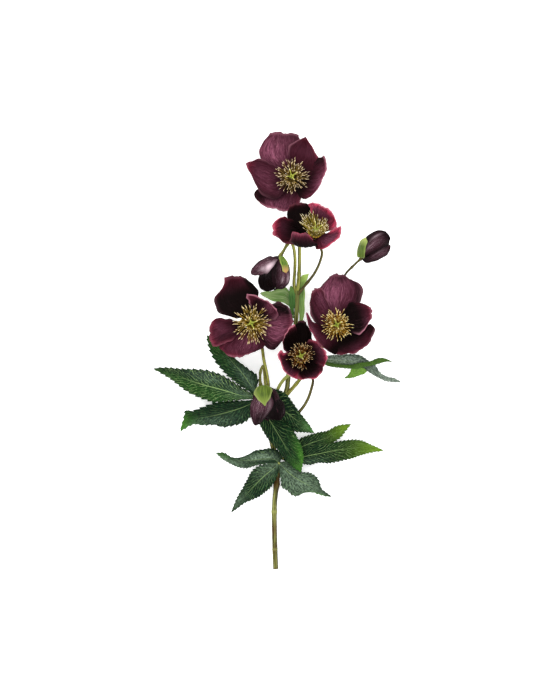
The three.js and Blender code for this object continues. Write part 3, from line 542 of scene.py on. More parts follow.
def sepal_shape(flower, sepal, seed):
    """The function that places a sepal's points, with its pleats and the waves of its edges."""
    axis, first, second = flower_frame(flower)
    turn = math.radians(sepal["turn"])
    radial = first * math.cos(turn) + second * math.sin(turn)
    centre = np.array(flower["centre"])
    claw = centre + radial * CLAW_RADIUS + axis * (SEAT_GAP + CAD_SEPAL_THICKNESS / 2)
    claw_half = np.cross(axis, radial) * CLAW_WIDTH / 2
    lines = [[claw + side * claw_half] + [centre + spot for spot in sepal[key]]
             for key, side in LINES.items()]
    phase = 2.4 * seed

    def shape(u, v):
        points, onwards, outwards, normal = loft(u, v, *lines)
        left, right, end = sepal.get("roll", NO_ROLL)
        lift = left * rise(0.7, 1, v) * rise(0.2, 0.5, u) + right * rise(0.7, 1, -v) * rise(0.2, 0.5, u)
        lift += end * rise(0.85, 1, u)
        edge = np.maximum(np.abs(v) ** 3, u ** 6) * rise(0.2, 0.6, u)
        around_edge = 5 * v + 9 * u
        lift += sepal["wave"] * np.sin(around_edge + phase) * edge
        points += (BASE_FULLNESS * v * np.exp(-((u - 0.14) / 0.09) ** 2))[..., None] * outwards
        pleats = np.sin(15 * v + 2 * u + phase) + 0.7 * np.sin(26 * v - 3 * u + 2 * phase)
        lift += PLEAT_RISE * pleats * rise(0.1, 0.4, u) * (1 - 0.7 * rise(0.85, 1, u))
        points += lift[..., None] * normal
        # the outline is never quite even: shallow bays and teeth along the sides and the end
        ragged = 0.45 * np.sin(17 * u + phase) + 0.3 * np.sin(31 * u + 3 * phase)
        points += (ragged * v ** 5 * rise(0.3, 0.5, u))[..., None] * outwards
        ragged = 0.55 * np.sin(7 * v + 2 * phase) + 0.3 * np.sin(17 * v + phase)
        points += (ragged * u ** 8 * (1 - v * v))[..., None] * onwards
        points[..., 2] = np.maximum(points[..., 2], TABLE_CLEARANCE)
        return points

    return shape


def sepal_tone(sepal, along, across):
    """Red: mauve bloom, partly painted sheen.  Green: crimson rim.  Blue: near-black base and patches, partly
    painted shade.  Alpha: pale pink painted highlights along the edges.
    """
    u, v = grid(along, across)
    out = rise(0.25, 0.7, u)

    def band(inner, place):
        """Faint over a broad band, strong along the last few per cent."""
        return 0.35 * rise(inner, 0.97, place) + 0.65 * rise(0.55 + inner / 2.4, 0.97, place)

    def edges(amounts, inner, inner_end):
        left, right, end = amounts
        sides = np.maximum(left * band(inner, v), right * band(inner, -v)) * out
        return np.maximum(sides, end * band(inner_end, u))

    # the mauve bloom: partly the sepal's own mauve, partly painted sheen where it faces the light
    at_u, at_v, strength, everywhere = sepal["glow"]
    glow = everywhere + strength * np.exp(-((u - at_u) / 0.3) ** 2 - ((v - at_v) / 0.55) ** 2)
    # the near-black base, partly the sepal's own and partly painted shade round the stamens, then patches of
    # painted shade in folds and under other sepals
    night = 1 - rise(sepal["night"] - 0.2, sepal["night"] + 0.3, u)
    for at_u, at_v, half_u, half_v, strength in sepal["dark"]:
        spot = rise(0.4, 1.1, np.hypot((u - at_u) / half_u, (v - at_v) / half_v))
        night = np.maximum(night, strength * (1 - spot))
    # the pale pink along the edges and the end is painted highlight
    return np.stack([glow, edges(sepal["rim"], 0.45, 0.7), night, edges(sepal["pale"], 0.8, 0.9)], axis=-1)


def thicken(piece, thickness):
    """Gives a sheet its thickness, and its second material to its back; its rim keeps the first."""
    solid = piece.modifiers.new("thickness", "SOLIDIFY")
    solid.thickness = thickness * MM
    solid.offset = 0
    solid.material_offset = 1
    solid.material_offset_rim = 0
    bpy.ops.object.modifier_apply(modifier=solid.name)
    bpy.ops.object.shade_smooth()


def sepal_tissue(name, night, body, bloom_and_sheen, crimson, pink):
    """Soft sepal tissue: low satin sheen, with fine veins that run out from the claw and spread, and painted
    sheen, shade and highlights laid on by its tone.
    """
    material, tree, shader = new_material(name)
    shader.inputs["Roughness"].default_value = 0.55
    shader.inputs["Specular IOR Level"].default_value = 0.035
    shader.inputs["Sheen Weight"].default_value = 0.008
    shader.inputs["Sheen Roughness"].default_value = 0.4
    shader.inputs["Sheen Tint"].default_value = linear("#c98aa8")
    layer = add_node(tree, "Attribute", attribute_name="tone").node.outputs
    tone = add_node(tree, "SeparateColor", {0: layer["Color"]}).node.outputs
    place = add_node(tree, "TexCoord").node.outputs
    # veins about 1 mm apart where the sepal is broadest, each a few mm long before it fades
    veins_at = add_node(tree, "Mapping", {"Vector": place["UV"], "Scale": (6, 64, 1)})
    veins = add_node(tree, "TexNoise", {"Vector": veins_at, "Scale": 1.0, "Detail": 4.0, "Distortion": 1.2})
    # cloth-like grain 1.2 mm across, coarser than the real cells so that it shows
    grain = add_node(tree, "TexNoise", {"Vector": place["Object"], "Scale": 850.0, "Detail": 2.0})
    clouds = add_node(tree, "TexNoise", {"Vector": place["Object"], "Scale": 70.0, "Detail": 2.0})
    # soft folds 3 to 5 mm apart along the sepal
    folds_at = add_node(tree, "Mapping", {"Vector": place["UV"], "Scale": (1.8, 11, 1)})
    folds = add_node(tree, "TexNoise", {"Vector": folds_at, "Scale": 1.0, "Detail": 1.0, "Distortion": 0.6})
    streak = add_node(tree, "MapRange", {0: veins, 1: 0.38, 2: 0.62, 3: 0.35, 4: 1.0})
    fold = add_node(tree, "MapRange", {0: folds, 1: 0.36, 2: 0.62, 3: 0.55, 4: 1.15})
    streak = add_node(tree, "Math", {0: streak, 1: fold}, operation="MULTIPLY")
    bloom_and_sheen_part = add_node(tree, "Math", {0: tone[0], 1: streak}, operation="MULTIPLY")
    clouded = add_node(tree, "MapRange", {0: clouds, 1: 0.4, 2: 0.75, 3: 0.0, 4: 0.12})
    bloom_and_sheen_part = add_node(tree, "Math", {0: bloom_and_sheen_part, 1: clouded}, operation="ADD", use_clamp=True)
    rimmed = add_node(tree, "Math", {0: tone[1], 1: streak}, operation="MULTIPLY")
    dark_veins = add_node(tree, "MapRange", {0: veins, 1: 0.47, 2: 0.33, 3: 0.0, 4: 0.4})
    # the crests of the crinkles catch the light as fine pale streaks, most of all in the bloom
    crests = add_node(tree, "MapRange", {0: veins, 1: 0.56, 2: 0.7, 3: 0.0, 4: 0.5})
    crests = add_node(tree, "Math", {0: crests, 1: tone[0]}, operation="MULTIPLY")
    # laid over the body in turn: the mauve bloom, partly painted sheen; the crimson rims; dark veins; the
    # tone's near-black, partly painted shade; and pale pink painted highlights from the tone's alpha and the
    # crests
    colour = layered(tree, body, [(bloom_and_sheen_part, bloom_and_sheen), (rimmed, crimson), (dark_veins, night), (tone[2], night),
                                  (layer["Alpha"], pink), (crests, pink)])
    relief = add_node(tree, "Math", {0: grain, 1: 0.3, 2: veins}, operation="MULTIPLY_ADD")
    relief = add_node(tree, "Math", {0: folds, 1: 2.0, 2: relief}, operation="MULTIPLY_ADD")
    dress(tree, shader, colour, relief, 0.8, 0.001)
    return material


SEPAL_CELLS = (54, 34)      # along it and across it
sepal_front = sepal_tissue("burgundy_sepal_face", "#080202", "#2d0a14", "#774055", "#842438", "#b07484")
sepal_back = sepal_tissue("burgundy_sepal_back", "#0b0304", "#290c15", "#6c3a4c", "#7e2c42", "#a06874")
# a lit copy of the face for flowers 2 and 4: its brighter crimson and pink are partly the sepals' own colour
# and partly painted light on their rims
sepal_lit = sepal_tissue("crimson_rimmed_sepal_face_with_painted_light", "#080202", "#2d0a14", "#774055", "#b93450", "#b8707f")
for node_name, sepals in SEPALS.items():
    for number, sepal in enumerate(sepals, 1):
        shape = sepal_shape(FLOWERS[node_name], sepal, number)
        piece = sheet(f"{node_name}_sepal_{number}_veined", *SEPAL_CELLS, shape)
        paint(piece, sepal_tone(sepal, *SEPAL_CELLS))
        piece.data.materials.append(sepal_lit if node_name in ("flower_2", "flower_4") else sepal_front)
        piece.data.materials.append(sepal_back)
        thicken(piece, SEPAL_THICKNESS)
        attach(piece, "root")
        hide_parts(f"{node_name}_sepal_{number}")


# --------------------------------------------------------------------------------------------------
# Stamens and nectaries.  A low dome on each receptacle carries rings of thread-like filaments that lean
# outwards and end in small anthers, with a ring of short golden nectaries, little horns, round their foot.
# --------------------------------------------------------------------------------------------------
STAMEN_DOME = [(0, 0), (4, 0), (4, 0.9), (3.3, 1.8), (1.8, 2.2), (0, 2.2)]      # radius and height
FILAMENT_RADIUS = 0.16
FILAMENT_CELLS = (10, 5)    # along it and round it
FILAMENT_FEET = (1.6, 2, 1.1)       # the inner ring's radius, how much wider the outer one is, and its height
FILAMENT_STEP = 0.382       # of a turn from each filament to the next
ANTHER_RADIUS = 0.26
ANTHER_AT = (0.94, 0.06)    # its middle and half its length, as shares of the filament
FILAMENTS = {"flower_1": 170, "flower_2": 115, "flower_3": 160, "flower_4": 115, "flower_5": 170}
NECTARIES = 14
NECTARY_RADIUS = 0.95
NECTARY_RING = 3.3
NECTARY_CELLS = (7, 8)
SWEPT = {"flower_2": np.array([-2.6, 6, 0])}        # where the outer stamens are swept to, in mm


def lathe_shape(base, axis, first, second, profile):
    """Places points round an axis; profile gives (radius, height) pairs from the foot to the top."""
    radii, heights = np.array(profile, float).T
    stations = np.linspace(0, 1, len(profile))

    def shape(u, v):
        radius = np.interp(u, stations, radii)[..., None]
        height = np.interp(u, stations, heights)[..., None]
        turned = np.cos(np.pi * v)[..., None] * first + np.sin(np.pi * v)[..., None] * second
        return base + radius * turned + height * axis

    return shape


def thread(name, points, radius, cells):
    """A thin stalk with a swollen end: radius(share) in mm."""
    shares = np.linspace(0, 1, cells[0] + 1)
    place, direction, _ = smooth_line(points, shares)
    side = np.cross(direction, unit((0.31, 0.17, 0.93)))
    side /= np.linalg.norm(side, axis=1, keepdims=True)
    other = np.cross(direction, side)

    def shape(u, v):
        turned = np.cos(np.pi * v)[..., None] * side + np.sin(np.pi * v)[..., None] * other
        return place + radius(u)[..., None] * turned

    return sheet(name, *cells, shape)


def join(pieces, name):
    """Joins pieces that grew as one into one object."""
    bpy.ops.object.select_all(action="DESELECT")
    for piece in pieces:
        piece.select_set(True)
    bpy.context.view_layer.objects.active = pieces[0]
    bpy.ops.object.join()
    pieces[0].name = pieces[0].data.name = name
    close_seams()
    bpy.ops.object.shade_smooth()
    return pieces[0]


def filament_radius(share):
    """Slender, with a rounded anther over its last part."""
    middle, half = ANTHER_AT
    anther = ANTHER_RADIUS * np.sqrt(np.maximum(1 - ((share - middle) / half) ** 2, 0))
    return np.maximum(FILAMENT_RADIUS * (1 - 0.3 * share) * (share < 0.95) * (share > 0), anther)


def nectary_radius(share):
    """A little horn, narrow at its foot and rounded at its mouth."""
    swell = np.sin(np.pi * np.minimum(share * 0.86 + 0.06, 0.92)) ** 0.6
    return NECTARY_RADIUS * swell * (share > 0) * (share < 1)


def stamen_tissue(name, foot, middle, end, roughness):
    """Waxy threads, darker and greener at the foot and cream at the anthers."""
    material, tree, shader = new_material(name)
    shader.inputs["Roughness"].default_value = roughness
    shader.inputs["Specular IOR Level"].default_value = 0.25
    shader.inputs["Subsurface Weight"].default_value = 0.1
    shader.inputs["Subsurface Radius"].default_value = (0.001, 0.0008, 0.0004)
    place = add_node(tree, "TexCoord").node.outputs
    part = add_node(tree, "SeparateXYZ", {0: place["UV"]})
    # mottling 2.4 mm across, which shifts the colours along each thread
    mottle = add_node(tree, "TexNoise", {"Vector": place["Object"], "Scale": 420.0, "Detail": 2.0})
    shift = add_node(tree, "MapRange", {0: mottle, 1: 0.3, 2: 0.7, 3: -0.35, 4: 0.3})
    along = add_node(tree, "Math", {0: part, 1: shift}, operation="ADD")
    low = add_node(tree, "MapRange", {0: along, 1: 0.05, 2: 0.6})
    high = add_node(tree, "MapRange", {0: part, 1: 0.82, 2: 0.9})
    dress(tree, shader, layered(tree, foot, [(low, middle), (high, end)]), mottle, 0.3, 0.0003)
    return material


stamen_skins = {
    "flower_1": stamen_tissue("olive_cream_stamens", "#161003", "#6a5214", "#e0c8a0", 0.5),
    "flower_2": stamen_tissue("pale_cream_stamens", "#221d04", "#9a8628", "#ecdcb0", 0.5),
    "flower_3": stamen_tissue("gold_pink_stamens", "#221a04", "#8e721c", "#f0d8a4", 0.5),
    "flower_4": stamen_tissue("amber_stamens", "#1e0e02", "#6c3c07", "#dcc08c", 0.5),
    "flower_5": stamen_tissue("yellow_gold_stamens", "#302204", "#9c7216", "#f0dc98", 0.5),
}
nectary_skin = stamen_tissue("golden_nectaries", "#5a4208", "#a07818", "#c8a648", 0.35)
for node_name, flower in FLOWERS.items():
    axis, first, second = flower_frame(flower)
    centre = np.array(flower["centre"])
    seat = centre + axis * SEAT_GAP
    draw = random.Random(node_name)
    inner, spread, height = FILAMENT_FEET
    pieces = [sheet(f"{node_name}_dome", 5, 20, lathe_shape(seat, axis, first, second, STAMEN_DOME))]
    pieces[0].data.materials.append(stamen_skins[node_name])
    for i in range(FILAMENTS[node_name]):
        turn = 2 * math.pi * (i * FILAMENT_STEP + draw.uniform(-0.03, 0.03))
        out = first * math.cos(turn) + second * math.sin(turn)
        ring = draw.uniform(0, 1) ** 0.75
        lean = math.radians(flower["spread"] * (0.22 + 0.84 * ring + draw.uniform(-0.1, 0.1)))
        reach = flower["reach"] * (0.6 + 0.42 * ring + draw.uniform(-0.1, 0.12))
        foot = seat + out * (inner + spread * ring) + axis * height
        end = foot + (out * math.sin(lean) + axis * math.cos(lean)) * reach
        end += SWEPT.get(node_name, 0 * axis) * ring
        knee = foot + out * math.sin(lean) * reach * 0.36 + axis * math.cos(lean) * reach * 0.62
        sway = np.cross(axis, out) * draw.uniform(-1.2, 1.2)
        line = [foot, knee + sway, end]
        pieces.append(thread(f"{node_name}_filament", line, filament_radius, FILAMENT_CELLS))
        pieces[-1].data.materials.append(stamen_skins[node_name])
    for i in range(NECTARIES):
        turn = 2 * math.pi * (i + draw.uniform(-0.2, 0.2)) / NECTARIES
        out = first * math.cos(turn) + second * math.sin(turn)
        foot = seat + out * NECTARY_RING + axis
        end = foot + out * 2.6 + axis * 3
        bend = foot + out * 1.8 + axis * 1.1
        horn = thread(f"{node_name}_nectary", [foot, bend, end], nectary_radius, NECTARY_CELLS)
        horn.data.materials.append(nectary_skin)
        pieces.append(horn)
    ring = join(pieces, f"{node_name}_stamens_and_nectaries")
    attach(ring, "root")
    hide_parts(f"{node_name}_stamens")


# --------------------------------------------------------------------------------------------------
# Carpels.  A little upright cluster of green seed pods in the middle of each flower, each drawn out into
# a pale style that curves away at its tip.
# --------------------------------------------------------------------------------------------------
STYLE_COUNT = 4
POD_RADIUS = 1.2
STYLE_RADIUS = 0.32
STYLE_CELLS = (14, 8)


def carpel_radius(share):
    """A plump pod at the foot, tapering to a fine style."""
    pod = POD_RADIUS * np.sin(np.pi * np.minimum(share / 0.5, 1)) ** 0.8
    return np.maximum(pod, STYLE_RADIUS * (share > 0) * (share < 1))


carpel_skin = stamen_tissue("yellow_green_carpels", "#66762a", "#aab04c", "#e2d890", 0.45)
for node_name, flower in FLOWERS.items():
    axis, first, second = flower_frame(flower)
    seat = np.array(flower["centre"]) + axis * (2 * SEAT_GAP + STAMEN_DOME[-1][1])
    pieces = []
    for i in range(STYLE_COUNT):
        turn = 2 * math.pi * (i + 0.25) / STYLE_COUNT
        out = first * math.cos(turn) + second * math.sin(turn)
        foot = seat + out * 0.8 + axis * 0.1
        reach = flower["reach"] * 0.8
        bent = foot + out * reach * 0.12 + axis * reach * 0.6
        end = foot + out * reach * 0.42 + axis * reach * 0.95
        pieces.append(thread(f"{node_name}_style", [foot, bent, end], carpel_radius, STYLE_CELLS))
        pieces[-1].data.materials.append(carpel_skin)
    cluster = join(pieces, f"{node_name}_carpels_and_styles")
    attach(cluster, "root")
    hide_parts(f"{node_name}_carpels")


# --------------------------------------------------------------------------------------------------
# Buds.  Nodding closed flowers: five overlapping sepals wrapped round one another, with a small green
# bract at the neck that partly covers them.
# --------------------------------------------------------------------------------------------------
# The sepals behind: angle is their direction round the bud's axis, half is half the arc that they wrap, and
# flare is how far their ends stand off, in mm.
BUD_BACKS = {
    "bud_1": [dict(angle=200, half=52, flare=1, reach=1.0), dict(angle=272, half=52, flare=1.5, reach=0.97),
              dict(angle=345, half=50, flare=1, reach=0.95)],
    "bud_2": [dict(angle=200, half=52, flare=0.5, reach=0.95), dict(angle=272, half=50, flare=1, reach=1.0),
              dict(angle=345, half=50, flare=0.5, reach=0.95)],
    "bud_3": [dict(angle=200, half=52, flare=1, reach=0.95), dict(angle=272, half=50, flare=1, reach=0.97),
              dict(angle=0, half=50, flare=1, reach=0.95)],
}
# where the sepals in front start: the left, middle and right of the neck
BUD_FEET = {
    "bud_1": [(3.3, 83.7, 32.3), (2, 84.1, 32.3), (0.8, 84.5, 32.3)],
    "bud_2": [(74.9, 84.6, 20.3), (75.7, 83.6, 20.3), (76.5, 82.6, 20.3)],
    "bud_3": [(-14, -31.4, 38.8), (-15.2, -31.9, 38.8), (-16.4, -32.3, 38.8)],
}
# The sepals in front, from there to the end: left, middle and right lines in mm, and patches of mauve bloom
# (partly painted sheen), of pale pink painted highlight and of near-black painted shade, each (u, v, half
# length, half width, strength).
BUD_FACES = {
    "bud_1": [
        dict(mauve=[(0.6, 0.1, 0.25, 0.3, 0.12)], light=[(0.45, -0.25, 0.08, 0.12, 0.5)],
             dark=[(0.5, 0, 2, 4, 0.97)],
             left=[(0, 82.5, 38.3), (0.5, 77.5, 42.2), (0, 68.5, 42.6), (-1.3, 60.5, 37.6),
                   (-3.6, 55.2, 32)],
             middle=[(-3.6, 82.5, 38.2), (-6.3, 77.5, 41.5), (-9, 68.6, 40.4), (-10.8, 59.7, 32.7),
                     (-9.9, 53.4, 31.8), (-9.9, 53, 31.8)],
             right=[(-9, 80.3, 37.7), (-13.9, 75.8, 33.5), (-16.6, 69.6, 32.5), (-18.1, 63.3, 32.1),
                    (-16.2, 56.1, 31.8)]),
        dict(mauve=[(0.5, 0.3, 0.5, 0.7, 0.9)],
             light=[(0.72, 0.1, 0.1, 0.1, 0.35), (0.7, 0.75, 0.12, 0.14, 0.3)],
             dark=[(0.5, -0.8, 0.6, 0.5, 0.85), (0.05, 0, 0.15, 2, 0.6), (1, 0, 0.12, 2, 0.6)],
             left=[(4.5, 83.5, 34.7), (7.6, 79.4, 36.3), (9.7, 74, 37), (10.6, 66.9, 32.8),
                   (9.4, 60.6, 32.4), (6.3, 56.6, 32.2)],
             middle=[(1.4, 83, 37.7), (2.7, 76.6, 42.3), (3.6, 69.4, 42.3), (3.1, 62.3, 38),
                     (1.4, 57.5, 32.2), (1.8, 55, 32)],
             right=[(-1.8, 82.5, 38.9), (-3.6, 78.4, 42.2), (-5.4, 72.1, 43.2), (-5.4, 64.1, 40.5),
                    (-3.1, 57, 34.3)]),
        dict(mauve=[(0.55, 0, 0.6, 1.2, 1)],
             light=[(0.48, 0.6, 0.16, 0.4, 0.85), (0.66, 0.35, 0.1, 0.3, 0.4)],
             dark=[(0, 0, 0.16, 2, 0.7), (0.8, -0.9, 0.3, 0.4, 0.4), (0.35, -0.6, 0.2, 0.5, 0.35)],
             left=[(-0.9, 80.2, 41.8), (-5.4, 73.9, 43.9), (-9, 69.4, 41.9), (-14.4, 67.7, 35),
                   (-19.7, 67.5, 34.3)],
             middle=[(-2.7, 81.7, 40.4), (-9, 78.4, 40.9), (-14.3, 75.4, 36), (-19.3, 72.7, 34.6),
                     (-22.6, 69.9, 34.4), (-24.2, 68.7, 34.3)],
             right=[(-2.7, 83.3, 38.5), (-7.2, 84.3, 35.3), (-13.5, 82.4, 35.1), (-19.3, 78.1, 34.8),
                    (-23.3, 74, 34.6)]),
    ],
    "bud_2": [
        dict(mauve=[(0.65, 0.1, 0.35, 0.6, 0.66)], light=[(0.62, 0.5, 0.15, 0.12, 0.08)],
             dark=[(0, 0, 0.3, 2, 0.85), (0.5, 1.1, 0.8, 0.4, 0.8)],
             left=[(76.4, 84.5, 25), (79.1, 84, 27.1), (83.5, 87.1, 30.9), (88.4, 90.5, 31.5),
                   (93.4, 92.7, 29.4), (98, 93.5, 24.6)],
             middle=[(76.5, 82.8, 22.9), (80.9, 81.4, 25.2), (87.1, 84, 29.2), (93.5, 87.2, 27.9),
                     (99, 90.9, 22.2), (101, 94.9, 22.4)],
             right=[(76.5, 81, 22), (79.2, 79, 21), (85.4, 80, 24.2), (91.7, 82, 24.3), (97.2, 85, 21.9),
                    (100.6, 90, 22.2)]),
        dict(mauve=[(0.5, 0.05, 0.28, 0.5, 0.8)],
             light=[(0.7, 0.5, 0.12, 0.1, 0.22), (0.42, 0.1, 0.14, 0.12, 0.1)],
             dark=[(0.5, 1.1, 0.9, 0.5, 0.95), (0.5, -1.1, 0.9, 0.35, 0.9), (1, 0, 0.2, 2, 0.85),
                   (0, 0, 0.14, 2, 0.8)],
             left=[(74.6, 88.5, 25.9), (76.4, 94.8, 28.2), (79.6, 102.1, 24.3), (84.6, 105.7, 22.1),
                   (90.9, 108.1, 22.4), (96.3, 107.5, 22.6)],
             middle=[(77.3, 87.6, 28.7), (80.8, 91.1, 31.7), (87.1, 96.5, 31.7), (93.5, 101.1, 27.3),
                     (98.9, 103.4, 23.4), (100.7, 102.1, 23.3)],
             right=[(79.1, 84.9, 28.6), (84.4, 87.5, 32), (90.7, 90.2, 31.6), (96.1, 93.9, 28.1),
                    (99.8, 98, 22.9)]),
    ],
    "bud_3": [
        dict(mauve=[(0.9, 0.8, 0.15, 0.3, 0.3)], light=[],
             dark=[(0.5, 0, 2, 4, 0.96)],
             left=[(-7, -36.4, 41.8), (-0.8, -42, 40.5), (4.4, -45.6, 39.2), (6.6, -50.7, 39),
                   (6.5, -56, 38.8), (4, -60.8, 38.6)],
             middle=[(-6.3, -35.4, 45), (-3.6, -44.3, 47.3), (-1.8, -51.5, 44.1), (-1.8, -56.9, 40.6),
                     (-0.9, -61.4, 38.7), (0, -62.8, 38.6)],
             right=[(-8.9, -36.3, 46.9), (-8.9, -43.4, 49.5), (-9.8, -49.7, 48.6), (-10.3, -55.1, 45.6),
                    (-7.6, -60, 41.3)]),
        dict(mauve=[(0.5, -0.1, 0.45, 1, 0.85)],
             light=[(0.45, 0.75, 0.35, 0.12, 0.1), (0.3, -0.3, 0.2, 0.1, 0.1)],
             dark=[(1, 0.3, 0.3, 0.9, 0.8), (0, 0, 0.15, 2, 0.5)],
             left=[(-9.8, -36.2, 47.9), (-5.8, -41.6, 49.2), (-4.2, -46.5, 48.5), (-5.4, -51.9, 47.3),
                   (-8.9, -56.9, 45.1), (-13.4, -62.3, 38.8)],
             middle=[(-13.4, -37.1, 48.3), (-14.3, -44.3, 50.1), (-16.1, -52.4, 46.7),
                     (-17.9, -58.7, 39), (-18.8, -63.7, 38.8), (-19.7, -67.2, 38.7)],
             right=[(-17, -36.3, 46.3), (-21, -42.1, 45.8), (-23.9, -47.1, 39.8), (-24.8, -52.4, 39.3),
                    (-24.4, -58.7, 39.1), (-22.6, -63.7, 38.8)]),
    ],
}
BUD_SEPAL_CELLS = (30, 22)
BUD_CORE_CELLS = (12, 24)
BUD_CORE_LENGTH = 28
# painted shade: the core is near-black and the sepals behind are darkened, for the shade inside and under the
# closed bud
NEAR_BLACK = (0.0, 0.0, 1.0, 0.0)           # the tone of the core, and of the sepals behind
SHADED_MAUVE = (0.25, 0.0, 0.7, 0.0)
BUD_FULLNESS = 0.86         # the closed bud's widest radius, as a share of the one over its flared tips


def bud_profile(share):
    """The closed bud's radius along its axis, as a share of its widest."""
    return BUD_FULLNESS * np.sin(np.pi * np.clip(share, 0, 1) ** 0.8) ** 0.75


def bud_frame(bud):
    """The bud's axis, a direction across it towards +Z, and the third direction."""
    axis = unit(bud["axis"])
    up = unit(np.array([0, 0, 1.0]) - axis * axis[2])
    return axis, np.cross(up, axis), up


def bud_sepal_shape(bud, sepal, number):
    """The function that places the points of a sepal behind, wrapped round the bud's axis."""
    axis, sideways, up = bud_frame(bud)
    neck = np.array(bud["neck"]) + axis * SEAT_GAP
    layer = 0.2 + 0.3 * (number % 3)

    def shape(u, v):
        share = 0.02 + (sepal["reach"] - 0.02) * u
        narrow = np.minimum(1, 1.25 * np.sin(np.pi * np.minimum(0.12 + 0.88 * u, 0.985)) ** 0.5)
        angle = math.radians(sepal["angle"]) + math.radians(sepal["half"]) * v * narrow
        radius = bud["radius"] * bud_profile(share) + layer * rise(0, 0.2, u)
        radius += sepal["flare"] * rise(0.55, 1, u) + 0.4 * np.sin(6 * v + 2 * number) * rise(0.5, 1, u)
        radius += 0.5 * np.abs(v) ** 4 * rise(0.2, 0.6, u)
        turned = np.cos(angle)[..., None] * sideways + np.sin(angle)[..., None] * up
        along = share * bud["length"] - 1.2 * np.abs(v) ** 3 * u + 0.5 * np.sin(7 * v + number) * u ** 6
        return neck + along[..., None] * axis + radius[..., None] * turned

    return shape


def bud_face_shape(feet, face, seed):
    """The function that places the points of a sepal in front, with its pleats and its uneven edges."""
    lines = [[foot] + face[key] for foot, key in zip(feet, LINES)]

    def shape(u, v):
        points, _, outwards, normal = loft(u, v, *lines)
        pleats = 0.14 * np.sin(14 * v + 2 * u + seed) + 0.1 * np.sin(25 * v - 3 * u + 2 * seed)
        lift = pleats * (1 - rise(0.8, 1, np.abs(v))) + 0.5 * np.sin(7 * u + 3 * seed) * v ** 4
        ragged = 0.35 * np.sin(15 * u + seed) * v ** 5
        moved = lift[..., None] * normal + ragged[..., None] * outwards
        return points + moved * rise(0.15, 0.4, u)[..., None]

    return shape


def patches(u, v, spots):
    """How strong soft oval patches are at (u, v), each (u, v, half length, half width, strength)."""
    total = 0 * u
    for at_u, at_v, half_u, half_v, strength in spots:
        fall = np.exp(-((u - at_u) / half_u) ** 2 - ((v - at_v) / half_v) ** 2)
        total = np.maximum(total, strength * fall)
    return total


def bud_face_tone(face):
    """Red: mauve bloom, partly painted sheen.  Blue: near-black painted shade.  Alpha: pale pink painted
    highlights.
    """
    u, v = grid(*BUD_SEPAL_CELLS)
    return np.stack([patches(u, v, face["mauve"]), 0 * u, patches(u, v, face["dark"]),
                     patches(u, v, face["light"])], axis=-1)


# the pale pink on the bud sepals is painted highlight, and their near-black is painted shade
bud_front = sepal_tissue("bud_sepal_with_painted_highlights", "#050202", "#1e090f", "#583542", "#93283f", "#d8c0c8")
for node_name, backs in BUD_BACKS.items():
    bud = BUDS[node_name]
    axis, sideways, up = bud_frame(bud)
    seat = np.array(bud["neck"]) + axis * SEAT_GAP
    stations = [(bud["radius"] * bud_profile(s), bud["length"] * s) for s in np.linspace(0, 0.93, 12)]
    core_shape = lathe_shape(seat, axis, sideways, up, stations + [(0, BUD_CORE_LENGTH)])
    core = sheet(f"{node_name}_core", *BUD_CORE_CELLS, core_shape)
    core.data.materials.append(sepal_front)
    # the core is painted near-black, for the shade inside the closed bud
    paint(core, np.tile(NEAR_BLACK, (len(core.data.vertices), 1)))
    pieces = [core]
    shaded = np.tile(SHADED_MAUVE, (grid(*BUD_SEPAL_CELLS)[0].size, 1))
    wraps = [(bud_sepal_shape(bud, sepal, number), shaded) for number, sepal in enumerate(backs)]
    wraps += [(bud_face_shape(BUD_FEET[node_name], face, number), bud_face_tone(face))
              for number, face in enumerate(BUD_FACES[node_name])]
    for shape, tone in wraps:
        piece = sheet(f"{node_name}_wrap", *BUD_SEPAL_CELLS, shape)
        piece.data.materials.append(bud_front)
        piece.data.materials.append(sepal_back)
        paint(piece, tone)
        thicken(piece, SEPAL_THICKNESS)
        pieces.append(piece)
    closed = join(pieces, f"{node_name}_wrapped_sepals")
    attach(closed, "root")
    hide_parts(node_name)


# --------------------------------------------------------------------------------------------------
# Leaves.  Each is one petiole that ends in a fan of long toothed leaflets: leathery, glossy, dark green
# above with a pale midrib and side veins that sweep towards the edge.
# --------------------------------------------------------------------------------------------------
PETIOLE_RADIUS = 1.5
LEAF_THICKNESS = 0.5
VEIN_PITCH = 4.6
PHASE_UNIT = 40.0           # side veins to one unit of the tone's blue
MIDRIB_GROOVE = 0.5
QUILT_RISE = 0.09
EDGE_WAVE = 0.7
LEAFLET_CELLS = (160, 20)
YOUNG_GREENS = {"leaf_1": "#37661c", "leaf_2": "#5c7c16", "leaf_3": "#3f6a24", "leaf_4": "#5f8430"}
PAINTED_SHEEN_GREENS = {"leaf_1": "#5a705e", "leaf_2": "#5a705e", "leaf_3": "#6c7f6a", "leaf_4": "#808c80"}
